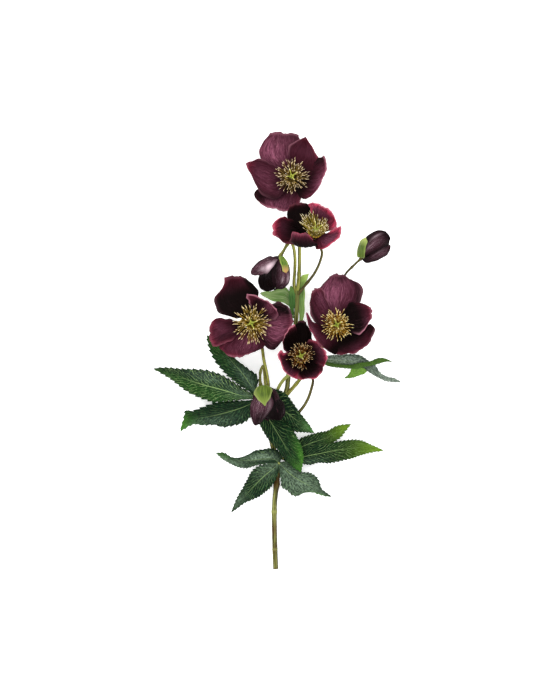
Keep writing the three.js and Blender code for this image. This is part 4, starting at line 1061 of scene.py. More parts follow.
# left, middle and right: the two edges and the midrib, in mm, from the petiole's end to the tip.  teeth:
# their pitch and depth in mm.  veins: how strongly the side veins show.  lime, grey and dark: patches of
# young green, of painted silvery sheen and of painted shade, each (u, v, half length, half width,
# strength).
LEAVES = {
    "leaf_1": dict(petiole=[(-7, -69, 9.8), (-12.5, -58, 13), (-17, -43, 19)], leaflets=[
        dict(tip=(-112.3, -16.3, 0.6), teeth=(5.4, 1.9), veins=1,
             lime=[(0.5, 0.5, 0.6, 0.6, 0.25)],
             grey=[(0.47, -0.55, 0.17, 0.4, 0.45), (0.1, -0.2, 0.22, 0.8, 0.5)],
             dark=[(0.55, -0.6, 0.6, 0.6, 0.45)],
             left=[(-26.3, -43.7, 18), (-35.6, -44.6, 17), (-46.8, -45.9, 15.5), (-58.2, -46.9, 14),
                   (-66.2, -44.6, 12.5), (-76.8, -39.9, 10.5), (-88.9, -32, 7.5), (-98.4, -25.3, 4.5),
                   (-106.6, -20.1, 2)],
             middle=[(-33.3, -40.5, 18.5), (-43.6, -37.4, 17.5), (-52.9, -34.7, 16.5),
                     (-66.7, -31.1, 14.5), (-79.3, -27, 12), (-92, -22.1, 8), (-102.9, -18.5, 4)],
             right=[(-28.8, -35.6, 17.5), (-37.8, -29.7, 16.5), (-45, -24.8, 15.5), (-52.3, -21.2, 14),
                    (-61.3, -18.5, 12.5), (-70.3, -17.1, 10.5), (-82.1, -16.2, 8), (-95.7, -15.8, 4.5),
                    (-104.8, -15.8, 2)]),
        dict(tip=(-64, 13.5, 13), teeth=(5.2, 2.08), veins=0.38,
             lime=[(0.9, 0, 0.3, 1, 0.3)],
             grey=[(0.22, -0.1, 0.25, 0.5, 0.7), (0.45, 0.1, 0.25, 0.2, 0.35)],
             dark=[(0.5, -0.7, 0.6, 0.5, 0.4)],
             left=[(-26.1, -36.9, 19.5), (-31.5, -33.8, 19), (-38.7, -28.4, 18.5), (-45, -23.4, 18),
                   (-51.3, -16.7, 17.5), (-56.7, -9.9, 16.5), (-60.8, -1.8, 15.5), (-63.4, 5.9, 14)],
             middle=[(-24.8, -31.1, 19.5), (-30.6, -22.5, 19), (-37.8, -14, 18.5), (-44.6, -6.3, 17.5),
                     (-51.3, 0.9, 16), (-58.1, 8.1, 14.5)],
             right=[(-19.4, -34.7, 18), (-17.5, -27.5, 16.5), (-19.8, -21.2, 16), (-25.2, -17.1, 16),
                    (-30.6, -13.1, 16), (-37.8, -8.6, 16), (-44.1, -3.2, 15.5), (-51.4, 4.5, 14.5),
                    (-58.6, 11.3, 13.5)]),
        dict(tip=(-87.8, -72.7, 2), teeth=(5, 1.92), veins=0.25,
             lime=[(1.02, 0, 0.17, 2.5, 1.4)],
             grey=[(0.62, 0.5, 0.3, 0.5, 0.35), (0.75, 0.8, 0.2, 0.4, 0.3)],
             dark=[(0.45, -0.4, 0.5, 0.7, 0.6)],
             left=[(-25.2, -60.4, 13), (-31.6, -65.4, 10.5), (-38.8, -67.7, 9), (-49.2, -69.3, 7),
                   (-57.8, -66.6, 6), (-66.8, -67.3, 5), (-74.9, -66.8, 4), (-80.8, -69.1, 3)],
             middle=[(-27, -49.1, 17), (-36, -52.7, 15.5), (-47.8, -56.3, 13), (-61.3, -59.5, 10.5),
                     (-74, -61.8, 8), (-83.1, -65.4, 5)],
             right=[(-25.2, -44.9, 16), (-36, -45, 15), (-46.9, -45.1, 13.5), (-58.1, -47.3, 12),
                    (-68.5, -50.9, 10.5), (-78, -54.4, 9), (-83.4, -54, 7.5), (-85.6, -62.7, 5)]),
        dict(tip=(32.3, -74.2, 13), teeth=(3, 1.28), veins=0.6,
             lime=[(0.95, 0.2, 0.16, 0.8, 0.9)], grey=[(0.9, 0.1, 0.15, 0.7, 0.3)],
             dark=[(0.4, 0.5, 0.5, 0.6, 0.5)],
             left=[(-5.4, -34.5, 19.5), (2.7, -36.2, 20.5), (8.2, -39.8, 20), (13.4, -46.6, 19),
                   (19.2, -55.2, 17.5), (24.1, -61.8, 16), (28.6, -67.6, 14.5)],
             middle=[(-7.2, -46.4, 20), (0.9, -51.7, 20.5), (8.1, -56.2, 20), (15.3, -61.7, 18.5),
                     (22.5, -67.1, 16.5)],
             right=[(-14.4, -51.8, 18.5), (-7.2, -58.1, 18), (0, -63.9, 18), (8.1, -69.8, 17.5),
                    (14.4, -73, 16.5), (22.5, -73.9, 15)]),
        dict(tip=(20.5, -109.5, 15), teeth=(3, 1.12), veins=0.4,
             lime=[(0.9, 0.85, 0.26, 0.35, 0.9), (1.0, 0, 0.15, 1, 0.8)], grey=[],
             dark=[(0.4, 0.5, 0.5, 0.5, 0.4), (0.5, -0.8, 0.5, 0.5, 0.3)],
             left=[(-2.7, -55.4, 20), (4.5, -62.5, 20.5), (10.8, -67.9, 21.5), (15.3, -74.7, 22),
                   (19.3, -81.4, 22), (22.1, -88.6, 20.5), (23.2, -95.9, 19), (22.2, -103.1, 17)],
             middle=[(-14.4, -53.5, 20), (-7.2, -63.4, 22.5), (-0.9, -73.7, 24), (5.4, -84.1, 24.5),
                     (11.2, -94, 22), (16.7, -102.2, 18.5)],
             right=[(-21.2, -53.6, 19), (-18, -63.4, 20), (-13.5, -72, 21), (-8.5, -80.1, 22),
                    (-2.7, -87.3, 22.5), (2.7, -93.1, 21.5), (8.1, -99.5, 20), (14.4, -105.8, 17)]),
    ]),
    "leaf_2": dict(petiole=[(-3.5, -92, 8.7), (1, -95, 8.5), (5, -98, 8)], leaflets=[
        dict(tip=(65.7, -66.7, 4.5), teeth=(3.2, 1.6), veins=0.6,
             lime=[(0.98, 0, 0.24, 1.6, 1)], grey=[], dark=[(0.3, 0, 0.3, 1, 0.3)],
             left=[(10.8, -87, 9), (18.9, -79.8, 10.5), (27, -76.6, 10.5), (36.1, -73.8, 10),
                   (44.2, -72.2, 9), (52.3, -68.1, 7.5), (58.7, -66.8, 6)],
             middle=[(12.6, -93.3, 9.5), (22.5, -86.5, 11.5), (32.4, -82.5, 12), (42.4, -79.3, 11),
                     (52.3, -74, 8.5), (59.6, -69.5, 6)],
             right=[(10.8, -97, 8.5), (22.5, -93.3, 9.5), (34.3, -90.6, 9.5), (44.2, -87, 9),
                    (51.4, -82.1, 8), (56.8, -78.1, 6.5), (61.4, -72.7, 5.3)]),
        dict(tip=(94.9, -90.3, 0.8), teeth=(3.2, 1.6), veins=0.75,
             lime=[(1.02, 0, 0.27, 1.8, 1.1)], grey=[(0.2, -0.7, 0.2, 0.4, 0.3)],
             dark=[(0.4, -0.3, 0.4, 0.6, 0.3)],
             left=[(11.7, -94.3, 9), (21.6, -89.7, 9.5), (32.5, -86.1, 10), (43.3, -83.9, 10),
                   (54.1, -81.9, 9), (65, -80.6, 7.5), (74.9, -80.8, 6), (83.1, -84, 4)],
             middle=[(12.6, -98.8, 9.5), (24.3, -95.6, 10.5), (37.9, -92.9, 11), (51.4, -90.2, 10.5),
                     (64.9, -88.4, 9), (78.5, -87.5, 6.5)],
             right=[(10.8, -101.5, 8), (19.8, -101.8, 8), (28.9, -103.5, 7), (36.1, -101.8, 7),
                    (46.9, -101.5, 7), (57.8, -99.3, 6.5), (67.7, -97.5, 5.5), (76.7, -94.4, 4),
                    (85.8, -91.5, 2.5)]),
    ]),
    "leaf_3": dict(petiole=[(0.3, -107, 7.4), (0, -103, 11), (1.5, -101, 14.5)], leaflets=[
        dict(tip=(-55.8, -92.5, 5), teeth=(3, 1.2), veins=0.3,
             lime=[(0.93, 0, 0.15, 1, 0.5)],
             grey=[(0.32, -0.25, 0.25, 0.4, 0.9), (0.78, 0.5, 0.3, 0.8, 0.6), (0.5, 0.9, 0.4, 0.3, 0.4)],
             dark=[(0.15, -0.8, 0.22, 0.6, 1), (0.4, 0.2, 0.25, 0.22, 0.8)],
             left=[(-5.4, -101.8, 13.5), (-14.4, -102.7, 13), (-21.6, -104.1, 12), (-28, -105.9, 11),
                   (-36.1, -105.1, 9), (-43.3, -102.4, 7.5), (-50.1, -98.4, 6)],
             middle=[(-3.6, -98.2, 14.5), (-12.6, -97.8, 14.5), (-23.4, -98.7, 14), (-34.3, -99.1, 12.5),
                     (-43.3, -98.3, 9.5), (-50.5, -94.8, 6.5)],
             right=[(4.5, -94.6, 14), (0, -90.3, 14), (-7.2, -88.1, 14), (-14.4, -89.2, 14),
                    (-20.7, -90.1, 13.5), (-27, -93.3, 12.5), (-34.3, -96.3, 12), (-41.5, -96.5, 9.5),
                    (-48.3, -92.3, 7)]),
        dict(tip=(-42.2, -145.7, 0.8), teeth=(3.2, 1.6), veins=0.4,
             lime=[], grey=[(0.85, -0.2, 0.2, 0.8, 0.4), (0.1, -0.3, 0.25, 0.8, 0.5)],
             dark=[(0.5, -0.7, 0.4, 0.5, 0.4)],
             left=[(0.9, -107.7, 13), (-1.8, -115.8, 12), (-6.3, -123.1, 11), (-10.8, -127.2, 10),
                   (-17.1, -132.2, 8), (-23.5, -135.2, 6.5), (-29.8, -137.7, 5), (-36.1, -141.8, 3)],
             middle=[(-3.6, -105.9, 14.5), (-10.8, -111.7, 14), (-17.6, -118.1, 12.5),
                     (-24.3, -125.3, 10.5), (-31.1, -132.6, 7.5), (-37, -139.5, 4)],
             right=[(-2.7, -100.9, 14), (-11.7, -102.3, 13.5), (-18.9, -104.5, 13), (-24.3, -109.5, 12),
                    (-28.4, -116.8, 10.5), (-32.5, -124.9, 8.5), (-36.1, -131.3, 6), (-38.8, -136.8, 3.5)]),
        dict(tip=(48.1, -132.2, 0.8), teeth=(3.2, 1.6), veins=0.25,
             lime=[(0.85, -0.9, 0.2, 0.5, 0.7)], grey=[(0.45, -0.1, 0.6, 1.2, 0.62)],
             dark=[(0.3, -0.3, 0.2, 0.3, 0.5), (0.55, 0.6, 0.3, 0.3, 0.4)],
             left=[(9, -99.6, 14), (16.2, -104.1, 13.5), (21.6, -109.1, 13), (28.8, -110, 12),
                   (35.2, -114.1, 10.5), (37.9, -119.5, 8.5), (39.3, -124.6, 6), (43.3, -128.2, 3.5)],
             middle=[(5.4, -105.9, 14.5), (11.7, -111.7, 14), (18.9, -116.7, 12.5), (26.1, -120.8, 10.5),
                     (33.4, -125, 7.5), (40.6, -128.7, 4)],
             right=[(1.3, -107.7, 13.5), (2.3, -116.7, 12.5), (3.2, -123.1, 11), (8.1, -126.7, 9.5),
                    (12.6, -130.8, 8), (17.1, -131.6, 7), (22.6, -128.2, 6), (29.8, -127.3, 5),
                    (36.1, -129.6, 3.5), (42.4, -131.7, 2)]),
    ]),
    "leaf_4": dict(petiole=[(2, -45, 12), (-1, -38, 17), (3, -29, 19.5), (8, -23.5, 20), (20, -14.5, 16),
                            (30, -9, 13.5), (37, -7.5, 13)],
                   leaflets=[
        dict(tip=(110.9, -28.5, 0.8), teeth=(3.6, 0.8), veins=0.3,
             lime=[(0.1, -0.5, 0.25, 0.7, 0.3)],
             grey=[(0.3, 0.2, 0.35, 0.7, 1), (0.85, 0, 0.3, 2, 1), (0.12, 0.8, 0.2, 0.5, 0.9)],
             dark=[(0.45, -0.9, 0.4, 0.3, 0.4)],
             left=[(45.1, -4.5, 13.5), (54.1, -3.9, 13.5), (64.9, -3.4, 13), (73.9, -4.3, 12.5),
                   (80.2, -8.1, 11.5), (84.8, -11.3, 10.5), (88.8, -14.4, 9), (91.1, -18.5, 7.5),
                   (94.8, -22.1, 6), (99.3, -24.4, 4.5), (104.8, -24.8, 3)],
             middle=[(45.1, -8.6, 14), (55.9, -9, 14.5), (66.7, -9.9, 14), (75.7, -12.2, 13),
                     (82.9, -16.2, 11), (89.3, -20.8, 8), (95.7, -24.4, 6), (102.9, -26.6, 3.5)],
             right=[(43.3, -13.1, 13), (52.3, -14.4, 12.5), (61.3, -16.2, 12), (69.4, -16.2, 11.5),
                    (75.7, -17, 11), (81.2, -18.9, 10), (86.6, -22.1, 8), (92.1, -25.3, 6),
                    (97.5, -27.8, 4), (103.9, -28.7, 2.5)]),
        dict(tip=(102.6, -10.1, 9), teeth=(3.6, 0.64), veins=0.4,
             lime=[(0.6, 0, 0.8, 2, 0.45)], grey=[], dark=[(0.9, -0.3, 0.3, 0.6, 0.4)],
             left=[(45.1, -10.4, 14), (55.9, -12.6, 14), (64.9, -13.1, 14.5), (73.9, -10.8, 16),
                   (81.1, -9.9, 16), (84.7, -9, 15.5), (89.2, -7, 15), (94.6, -6.8, 13.5),
                   (99.2, -8.4, 11)],
             middle=[(45, -12.2, 14.5), (55.9, -14.2, 14.5), (65.8, -14.9, 15), (75.7, -12.6, 16.5),
                     (83.8, -11.7, 16.3), (90.1, -9.9, 15.3), (96.4, -9.3, 13)],
             right=[(44.2, -13.5, 13.5), (55.9, -15.6, 13.5), (64.9, -16.7, 14), (71.2, -16.5, 14.7),
                    (77.5, -14.4, 15.3), (83.8, -13.1, 15.4), (89.2, -12.3, 14.5), (95.5, -10.8, 12.5),
                    (99.2, -10.2, 11)]),
        dict(start=(74.8, -14.4, 14.5), tip=(60.3, -24.6, 6), teeth=(3, 0.64), veins=0.4,
             lime=[(0.5, 0, 2, 4, 1)], grey=[], dark=[],
             left=[(79.8, -18, 13), (78.4, -20.7, 12), (73.9, -22.1, 10.5), (67.6, -24.2, 9)],
             middle=[(73, -17.6, 13.5), (69.4, -20.3, 12), (64.9, -22.5, 10)],
             right=[(70.3, -14.7, 14), (66.2, -16.7, 13), (64.9, -19.4, 11.5), (63.1, -22.1, 9)]),
    ]),
}


def leaflet_shape(start, leaflet, seed):
    """Places a leaflet's points: creased, waved, quilted between veins, toothed.  Also gives its length."""
    tip = np.array(leaflet["tip"])
    heading = unit(np.array(leaflet["middle"][0]) - start)
    side = unit(np.cross([0, 0, 1.0], heading))
    # the leaflet is 2 mm wide where it starts and a blunt 0.4 mm at its tip
    lines = [[start + w * side] + [np.array(spot, float) for spot in leaflet[key]] + [tip + w * 0.2 * side]
             for key, w in LINES.items()]
    length = smooth_line(lines[1], [0])[2]
    pitch, depth = leaflet["teeth"]

    def shape(u, v):
        points, onwards, outwards, normal = loft(u, v, *lines)
        travelled = u * length
        tooth = ((travelled + 0.8 * np.sin(travelled / 7 + seed)) / pitch + 0.4 * (v > 0)) % 1
        edge = rise(0.82, 1, np.abs(v)) * rise(0.08, 0.2, u) * (1 - rise(0.96, 1, u))
        points += (depth * (tooth - 0.55) * edge * np.sign(v))[..., None] * outwards
        points += (0.4 * depth * tooth * edge)[..., None] * onwards
        wave = EDGE_WAVE * np.sin(travelled / 6 + seed + 2 * np.sign(v)) * np.abs(v) ** 3 * rise(0.1, 0.4, u)
        groove = -MIDRIB_GROOVE * np.exp(-(v / 0.07) ** 2) * rise(0, 0.1, u) * (1 - rise(0.85, 1, u))
        veins = np.sin(2 * np.pi * (travelled - 7 * np.abs(v) ** 0.8) / VEIN_PITCH)
        quilt = QUILT_RISE * veins * (1 - np.abs(v))
        points += ((wave + groove + quilt) * rise(0, 0.1, u))[..., None] * normal
        points[..., 2] = np.maximum(points[..., 2], TABLE_CLEARANCE)
        return points

    return shape, length


def leaflet_tone(leaflet, length):
    """Red: young green.  Green: painted silvery sheen.  Blue: how many side veins so far.  Alpha: painted
    shade.
    """
    u, v = grid(*LEAFLET_CELLS)
    phase = u * length / VEIN_PITCH / PHASE_UNIT
    return np.stack([patches(u, v, leaflet["lime"]), patches(u, v, leaflet["grey"]), phase,
                     patches(u, v, leaflet["dark"])], axis=-1)


def leaf_tissue(name, veins_show, deep, green, lime, grey, vein, roughness):
    """Leathery leaf: a waxy skin over dark green tissue, with pale veins set a little into it."""
    material, tree, shader = new_material(name)
    shader.inputs["Roughness"].default_value = roughness
    shader.inputs["Specular IOR Level"].default_value = 0.045
    layer = add_node(tree, "Attribute", attribute_name="tone").node.outputs
    tone = add_node(tree, "SeparateColor", {0: layer["Color"]}).node.outputs
    place = add_node(tree, "TexCoord").node.outputs
    part = add_node(tree, "SeparateXYZ", {0: place["UV"]}).node.outputs
    off = add_node(tree, "Math", {0: part[1], 1: 0.5}, operation="SUBTRACT")
    off = add_node(tree, "Math", {0: off}, operation="ABSOLUTE")
    # side veins leave the midrib at a slant and curve towards the tip
    swept = add_node(tree, "Math", {0: off, 1: 0.75}, operation="POWER")
    wobble = add_node(tree, "TexNoise", {"Vector": place["Object"], "Scale": 110.0, "Detail": 2.0})
    wobble = add_node(tree, "Math", {0: wobble, 1: 2.4}, operation="MULTIPLY")
    phase = add_node(tree, "Math", {0: tone[2], 1: PHASE_UNIT, 2: wobble}, operation="MULTIPLY_ADD")
    slant = add_node(tree, "Math", {0: swept, 1: -7.5, 2: phase}, operation="MULTIPLY_ADD")
    cycle = add_node(tree, "Math", {0: slant, 1: 0.5}, operation="PINGPONG")
    side_vein = add_node(tree, "MapRange", {0: cycle, 1: 0.05, 2: 0.01})
    here = add_node(tree, "TexNoise", {"Vector": place["Object"], "Scale": 160.0, "Detail": 2.0})
    shown = add_node(tree, "MapRange", {0: here, 1: 0.4, 2: 0.62, 3: 0.15 * veins_show, 4: 1.2 * veins_show})
    side_vein = add_node(tree, "Math", {0: side_vein, 1: shown}, operation="MULTIPLY")
    midrib = add_node(tree, "MapRange", {0: off, 1: 0.022, 2: 0.006})
    shown = add_node(tree, "MapRange", {0: part[0], 1: 0.85, 2: 0.15, 3: 0.0, 4: 0.3 + 0.6 * veins_show})
    midrib = add_node(tree, "Math", {0: midrib, 1: shown}, operation="MULTIPLY")
    veins = add_node(tree, "Math", {0: midrib, 1: side_vein}, operation="MAXIMUM")
    # the finest net of veins: streaks that follow the side veins, and grain between them
    streaks_at = add_node(tree, "CombineXYZ", {0: slant, 1: off})
    streaks_at = add_node(tree, "Mapping", {"Vector": streaks_at, "Scale": (5, 14, 1)})
    streaks = add_node(tree, "TexNoise", {"Vector": streaks_at, "Scale": 1.0, "Detail": 3.0})
    grain = add_node(tree, "TexNoise", {"Vector": place["Object"], "Scale": 620.0, "Detail": 3.0})
    net = add_node(tree, "Math", {0: streaks, 1: 0.6}, operation="MULTIPLY")
    net = add_node(tree, "Math", {0: grain, 1: 0.4, 2: net}, operation="MULTIPLY_ADD")
    fine_veins = add_node(tree, "MapRange", {0: streaks, 1: 0.6, 2: 0.69, 3: 0.0, 4: 0.55 * veins_show})
    veins = add_node(tree, "Math", {0: veins, 1: fine_veins}, operation="MAXIMUM")
    net_part = add_node(tree, "MapRange", {0: net, 1: 0.47, 2: 0.66})
    # painted shade darkens the leaf by the tone's alpha, and below, painted sheen greys it by the tone's
    # green
    painted_shade_part = add_node(tree, "Math", {0: layer["Alpha"], 1: 0.75}, operation="MULTIPLY")
    lime_part = add_node(tree, "MapRange", {0: net, 1: 0.38, 2: 0.58, 3: 0.45, 4: 1.0})
    lime_part = add_node(tree, "Math", {0: tone[0], 1: lime_part}, operation="MULTIPLY", use_clamp=True)
    painted_sheen_part = add_node(tree, "MapRange", {0: net, 1: 0.44, 2: 0.6, 3: 0.2, 4: 1.15})
    painted_sheen_part = add_node(tree, "Math", {0: tone[1], 1: painted_sheen_part}, operation="MULTIPLY")
    colour = layered(tree, deep, [(net_part, green), (painted_shade_part, deep), (lime_part, lime), (painted_sheen_part, grey),
                                  (veins, vein)])
    height = add_node(tree, "Math", {0: veins, 1: -0.8, 2: net}, operation="MULTIPLY_ADD")
    dress(tree, shader, colour, height, 0.6, 0.0006)
    return material


def petiole_radius(travelled, left, angle):
    """The same all along."""
    return PETIOLE_RADIUS + 0 * angle


petiole_skin = plant_stem("olive_petiole", "#20210a", "#484c1a", "#7c8042", "#38260f", 0.8)
leaf_under = leaf_tissue("matt_leaf_under_side", 0.3, "#10260f", "#1d3c20", "#3c6620", "#46594c", "#5f7a4c",
                         0.6)
for node_name, leaf in LEAVES.items():
    petiole = tube(f"{node_name}_petiole", leaf["petiole"], petiole_radius)
    petiole.data.materials.append(petiole_skin)
    pieces = [petiole]
    for number, leaflet in enumerate(leaf["leaflets"], 1):
        start = np.array(leaflet.get("start", leaf["petiole"][-1]), float)
        shape, length = leaflet_shape(start, leaflet, number)
        blade = sheet(f"{node_name}_leaflet", *LEAFLET_CELLS, shape)
        paint(blade, leaflet_tone(leaflet, length))
        blade.data.materials.append(leaf_tissue(
            f"glossy_{node_name}_leaflet_{number}", leaflet["veins"], "#021006", "#083417",
            YOUNG_GREENS[node_name], PAINTED_SHEEN_GREENS[node_name], "#8fac6a", 0.4))
        blade.data.materials.append(leaf_under)
        thicken(blade, LEAF_THICKNESS)
        pieces.append(blade)
    whole = join(pieces, f"{node_name}_toothed")
    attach(whole, "root")
    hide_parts(node_name)


# --------------------------------------------------------------------------------------------------
# Bracts.  Three small stalkless leaves round the upper joint of the stem, and one at each bud's neck:
# softer and brighter green than the leaves, with fine lengthwise veins.
# --------------------------------------------------------------------------------------------------
BRACT_LIFT = 0.6            # mm from a bud's sepals to the bract over them


def bract_feet(bud_name):
    """Where a bud's bract starts: the left, middle and right of the bud's neck, over its sepals."""
    return [(x, y, z + BRACT_LIFT) for x, y, z in BUD_FEET[bud_name]]


# feet: where the left edge, the midline and the right edge start.  left, middle and right: their points
# from there to the tip.
BRACTS = {
    "bract_leaf_left": dict(
        feet=[(12.3, 28.9, 17.2), (13.4, 29, 17.2), (14.5, 29.1, 17.2)], tip=(-16.2, 51.8, 15.5),
        left=[(12.6, 37.4, 17.5), (9.9, 40.1, 18), (5.4, 43.1, 18), (-0.9, 43.7, 17.5), (-7.2, 45.7, 17),
              (-11.7, 47.9, 16.3)],
        middle=[(12.2, 42.8, 17.5), (5.4, 48.2, 17), (-1.8, 49.1, 16.8), (-9, 49.5, 16.2)],
        right=[(12.2, 47.7, 18), (10.4, 53.1, 18), (7.2, 57, 18), (0, 55.4, 17.8), (-6.3, 53.6, 17),
               (-11.7, 53.1, 16.2)]),
    "bract_leaf_middle": dict(
        feet=[(12.5, 31.9, 21), (13.6, 32, 21), (14.7, 32.1, 21)], tip=(11.7, 58.5, 22.5),
        left=[(11.1, 36.4, 21.5), (9.9, 41.8, 22), (9.7, 49, 22.3), (10.2, 54.4, 22.5)],
        middle=[(12.6, 40, 21.5), (12.6, 48.1, 22), (12.1, 54.4, 22.3)],
        right=[(14.4, 36.4, 21.5), (15.3, 41.8, 22), (15.3, 49, 22.3), (14.4, 54.4, 22.5)]),
    "bract_leaf_right": dict(
        feet=[(18.4, 22.2, 17.5), (19.5, 22, 17.5), (20.6, 21.8, 17.5)], tip=(27.9, 69.3, 18.5),
        left=[(19.2, 30.2, 17.5), (18.5, 39.2, 17.5), (18.7, 49.1, 17.5), (19.1, 56.3, 17.8),
              (19.4, 62.6, 18), (21.6, 67.1, 18.4)],
        middle=[(21.3, 32.9, 17.3), (21.4, 42.8, 17), (21.4, 52.7, 17), (21.8, 59.9, 17.3),
                (23.9, 65.3, 18)],
        right=[(22.9, 28.4, 17.5), (24, 37.4, 17.5), (24, 47.3, 17.5), (24.3, 54.5, 17.8),
               (24.3, 59.9, 18), (26.6, 65.3, 18.4)]),
    "bud_1_bract": dict(
        feet=bract_feet("bud_1"), tip=(7.2, 69.4, 42.2),
        left=[(0.9, 83.4, 38.9), (2.1, 79.3, 42.8), (3.6, 73.9, 44.4), (4.8, 70.8, 43.9)],
        middle=[(3.1, 83.9, 37), (5.4, 79.3, 41), (6.8, 74.8, 42.4), (7, 71.2, 42.7)],
        right=[(4.5, 84.3, 36.8), (7.6, 80.3, 37.7), (9.2, 76.7, 39.1), (9.5, 72.6, 40.4)]),
    "bud_2_bract": dict(
        feet=bract_feet("bud_2"), tip=(78.9, 101.6, 27.2),
        left=[(71.6, 84.1, 24), (71.3, 90.4, 22.1), (72.6, 95.8, 23), (75.1, 99.3, 25.3)],
        middle=[(74.6, 84.1, 24.9), (75, 90.3, 28.5), (76.4, 96.1, 29.4), (77.7, 99.5, 28.5)],
        right=[(77.7, 84, 28), (78.1, 89.3, 31.2), (79.2, 93.8, 32.1), (80.1, 98.6, 30.7)]),
    "bud_3_bract": dict(
        feet=bract_feet("bud_3"), tip=(-11.6, -49.5, 50.6),
        left=[(-8.9, -31.8, 43.9), (-5.4, -34, 45.5), (-5.5, -38, 49), (-7.3, -42.5, 51),
              (-9.8, -46.5, 51.3)],
        middle=[(-13, -31.4, 43.2), (-12.5, -35.3, 48.3), (-12.2, -40.7, 51.1), (-11.9, -45.2, 51.5)],
        right=[(-17.9, -32.2, 42.8), (-21, -35.8, 42.8), (-20.8, -40.3, 47), (-17.9, -43.8, 49.9),
               (-14.3, -47.4, 50.8)]),
}
BRACT_THICKNESS = 0.45
BRACT_CELLS = (40, 16)


def bract_tissue(name, green, light, end, edge):
    """Soft young leaf tissue: lengthwise veins, and other greens along its edges and at its end."""
    material, tree, shader = new_material(name)
    shader.inputs["Roughness"].default_value = 0.5
    shader.inputs["Specular IOR Level"].default_value = 0.12
    place = add_node(tree, "TexCoord", output="UV")
    part = add_node(tree, "SeparateXYZ", {0: place}).node.outputs
    veins = add_node(tree, "Mapping", {"Vector": place, "Scale": (2.5, 18, 1)})
    veins = add_node(tree, "TexNoise", {"Vector": veins, "Scale": 1.0, "Detail": 3.0})
    off = add_node(tree, "Math", {0: part[1], 1: 0.5}, operation="SUBTRACT")
    off = add_node(tree, "Math", {0: off}, operation="ABSOLUTE")
    vein_part = add_node(tree, "MapRange", {0: veins, 1: 0.4, 2: 0.62})
    end_part = add_node(tree, "MapRange", {0: part[0], 1: 0.62, 2: 0.9})
    edge_part = add_node(tree, "MapRange", {0: off, 1: 0.34, 2: 0.48, 3: 0.0, 4: 0.8})
    midrib = add_node(tree, "MapRange", {0: off, 1: 0.04, 2: 0.01, 3: 0.0, 4: 0.6})
    colour = layered(tree, green, [(vein_part, light), (end_part, end), (edge_part, edge), (midrib, light)])
    dress(tree, shader, colour, veins, 0.4, 0.0005)
    return material


bract_skins = {
    "bract_leaf_left": bract_tissue("light_green_bract", "#5c7e3c", "#95ac72", "#92ae6c", "#6f8f48"),
    "bract_leaf_middle": bract_tissue("mid_green_bract", "#2a4a1c", "#41662c", "#5a7c3a", "#3b602a"),
    "bract_leaf_right": bract_tissue("fresh_green_bract", "#587e3c", "#88a65a", "#92ac54", "#94ac60"),
    "bud_1_bract": bract_tissue("peach_tipped_bract", "#33551a", "#6c7e30", "#a47c4c", "#8a9448"),
    "bud_2_bract": bract_tissue("green_bud_bract", "#3c4e18", "#586c28", "#909c54", "#7c8848"),
    "bud_3_bract": bract_tissue("lime_bud_bract", "#36460f", "#54661e", "#687634", "#7a8448"),
}


def bract_shape(bract, seed):
    """The function that places a bract's points, with a groove down its middle and faint teeth."""
    lines = [[foot] + bract[key] + [bract["tip"]] for foot, key in zip(bract["feet"], LINES)]

    def shape(u, v):
        points, _, outwards, normal = loft(u, v, *lines)
        ripple = 0.35 * np.sin(9 * u + 2 * v + seed) * v ** 2 - 0.25 * np.exp(-(v / 0.1) ** 2)
        teeth = 0.3 * np.sin(21 * u + seed) * v ** 5
        moved = ripple[..., None] * normal + teeth[..., None] * outwards
        return points + moved * rise(0.1, 0.4, u)[..., None]

    return shape


for seed, (node_name, outline) in enumerate(BRACTS.items()):
    bract = sheet(f"{node_name}_veined", *BRACT_CELLS, bract_shape(outline, seed))
    bract.data.materials.append(bract_skins[node_name])
    bract.data.materials.append(bract_skins[node_name])
    thicken(bract, BRACT_THICKNESS)
    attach(bract, "root")
    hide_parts(node_name)


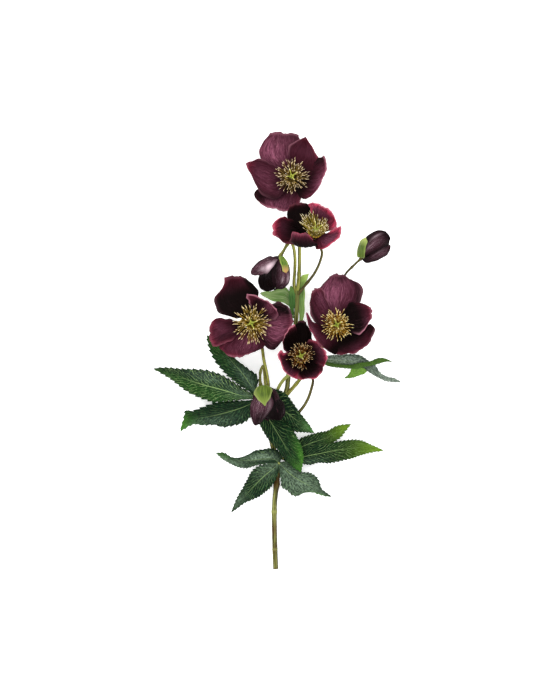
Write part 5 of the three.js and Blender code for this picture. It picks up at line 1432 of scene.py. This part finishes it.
# --------------------------------------------------------------------------------------------------
# Floor, light and camera.  A plain pale floor, broad soft light from above and a camera straight above
# on a long lens, with the spray's length up the picture.
# --------------------------------------------------------------------------------------------------
CAMERA_HEIGHT = 5.0         # metres, as are CAMERA_OVER, FOCUS_HEIGHT and FLOOR_SIZE
CAMERA_OVER = (0.0018, 0.00045)
MM_PER_PIXEL = 0.9
PICTURE_HEIGHT = 700
FOCUS_HEIGHT = 0.020
SENSOR = 36                 # mm
FLOOR_SIZE = 6
SKY_STRENGTH = 1.65

bpy.ops.mesh.primitive_plane_add(size=FLOOR_SIZE)
floor = bpy.context.object
floor.name = "floor"
card, card_tree, card_shader = new_material("matt_white_card")
card_shader.inputs["Roughness"].default_value = 0.9
# the card lies on a light table, which takes the depth out of the shadows
card_shader.inputs["Emission Color"].default_value = (1, 1, 1, 1)
card_shader.inputs["Emission Strength"].default_value = 0.35
card_place = add_node(card_tree, "TexCoord", output="Object")
card_grain = add_node(card_tree, "TexNoise", {"Vector": card_place, "Scale": 30.0})
card_colour = layered(card_tree, "#fafafa", [(card_grain, "#fdfdfd")])
card_tree.links.new(card_colour, card_shader.inputs["Base Color"])
floor.data.materials.append(card)

world = bpy.context.scene.world or bpy.data.worlds.new("world")
bpy.context.scene.world = world
world.use_nodes = True
sky = world.node_tree.nodes["Background"]
sky.inputs["Color"].default_value = (1, 1, 1, 1)
sky.inputs["Strength"].default_value = SKY_STRENGTH
LIGHTS = {
    "key_light": dict(place=(-1.0, 1.2, 1.5), size=1.0, power=20),
    "right_light": dict(place=(1.5, 0.4, 1.2), size=1.2, power=8),
    "front_light": dict(place=(-0.2, -1.6, 1.2), size=1.2, power=8),
}
for name, light in LIGHTS.items():
    bpy.ops.object.light_add(type="AREA", location=light["place"])
    lamp = bpy.context.object
    lamp.name = name
    lamp.data.energy = light["power"]
    lamp.data.size = light["size"]
    aim = unit(-np.array(light["place"]))
    lamp.rotation_euler = (math.acos(-aim[2]), 0, math.atan2(-aim[0], aim[1]))

bpy.ops.object.camera_add(location=(*CAMERA_OVER, CAMERA_HEIGHT))
camera = bpy.context.object
camera.name = "camera"
camera.data.sensor_fit = "VERTICAL"
camera.data.sensor_height = SENSOR
camera.data.lens = SENSOR * (CAMERA_HEIGHT - FOCUS_HEIGHT) / (PICTURE_HEIGHT * MM_PER_PIXEL * MM)
camera.data.clip_end = 20
bpy.context.scene.camera = camera
bpy.context.scene.view_settings.view_transform = "Standard"
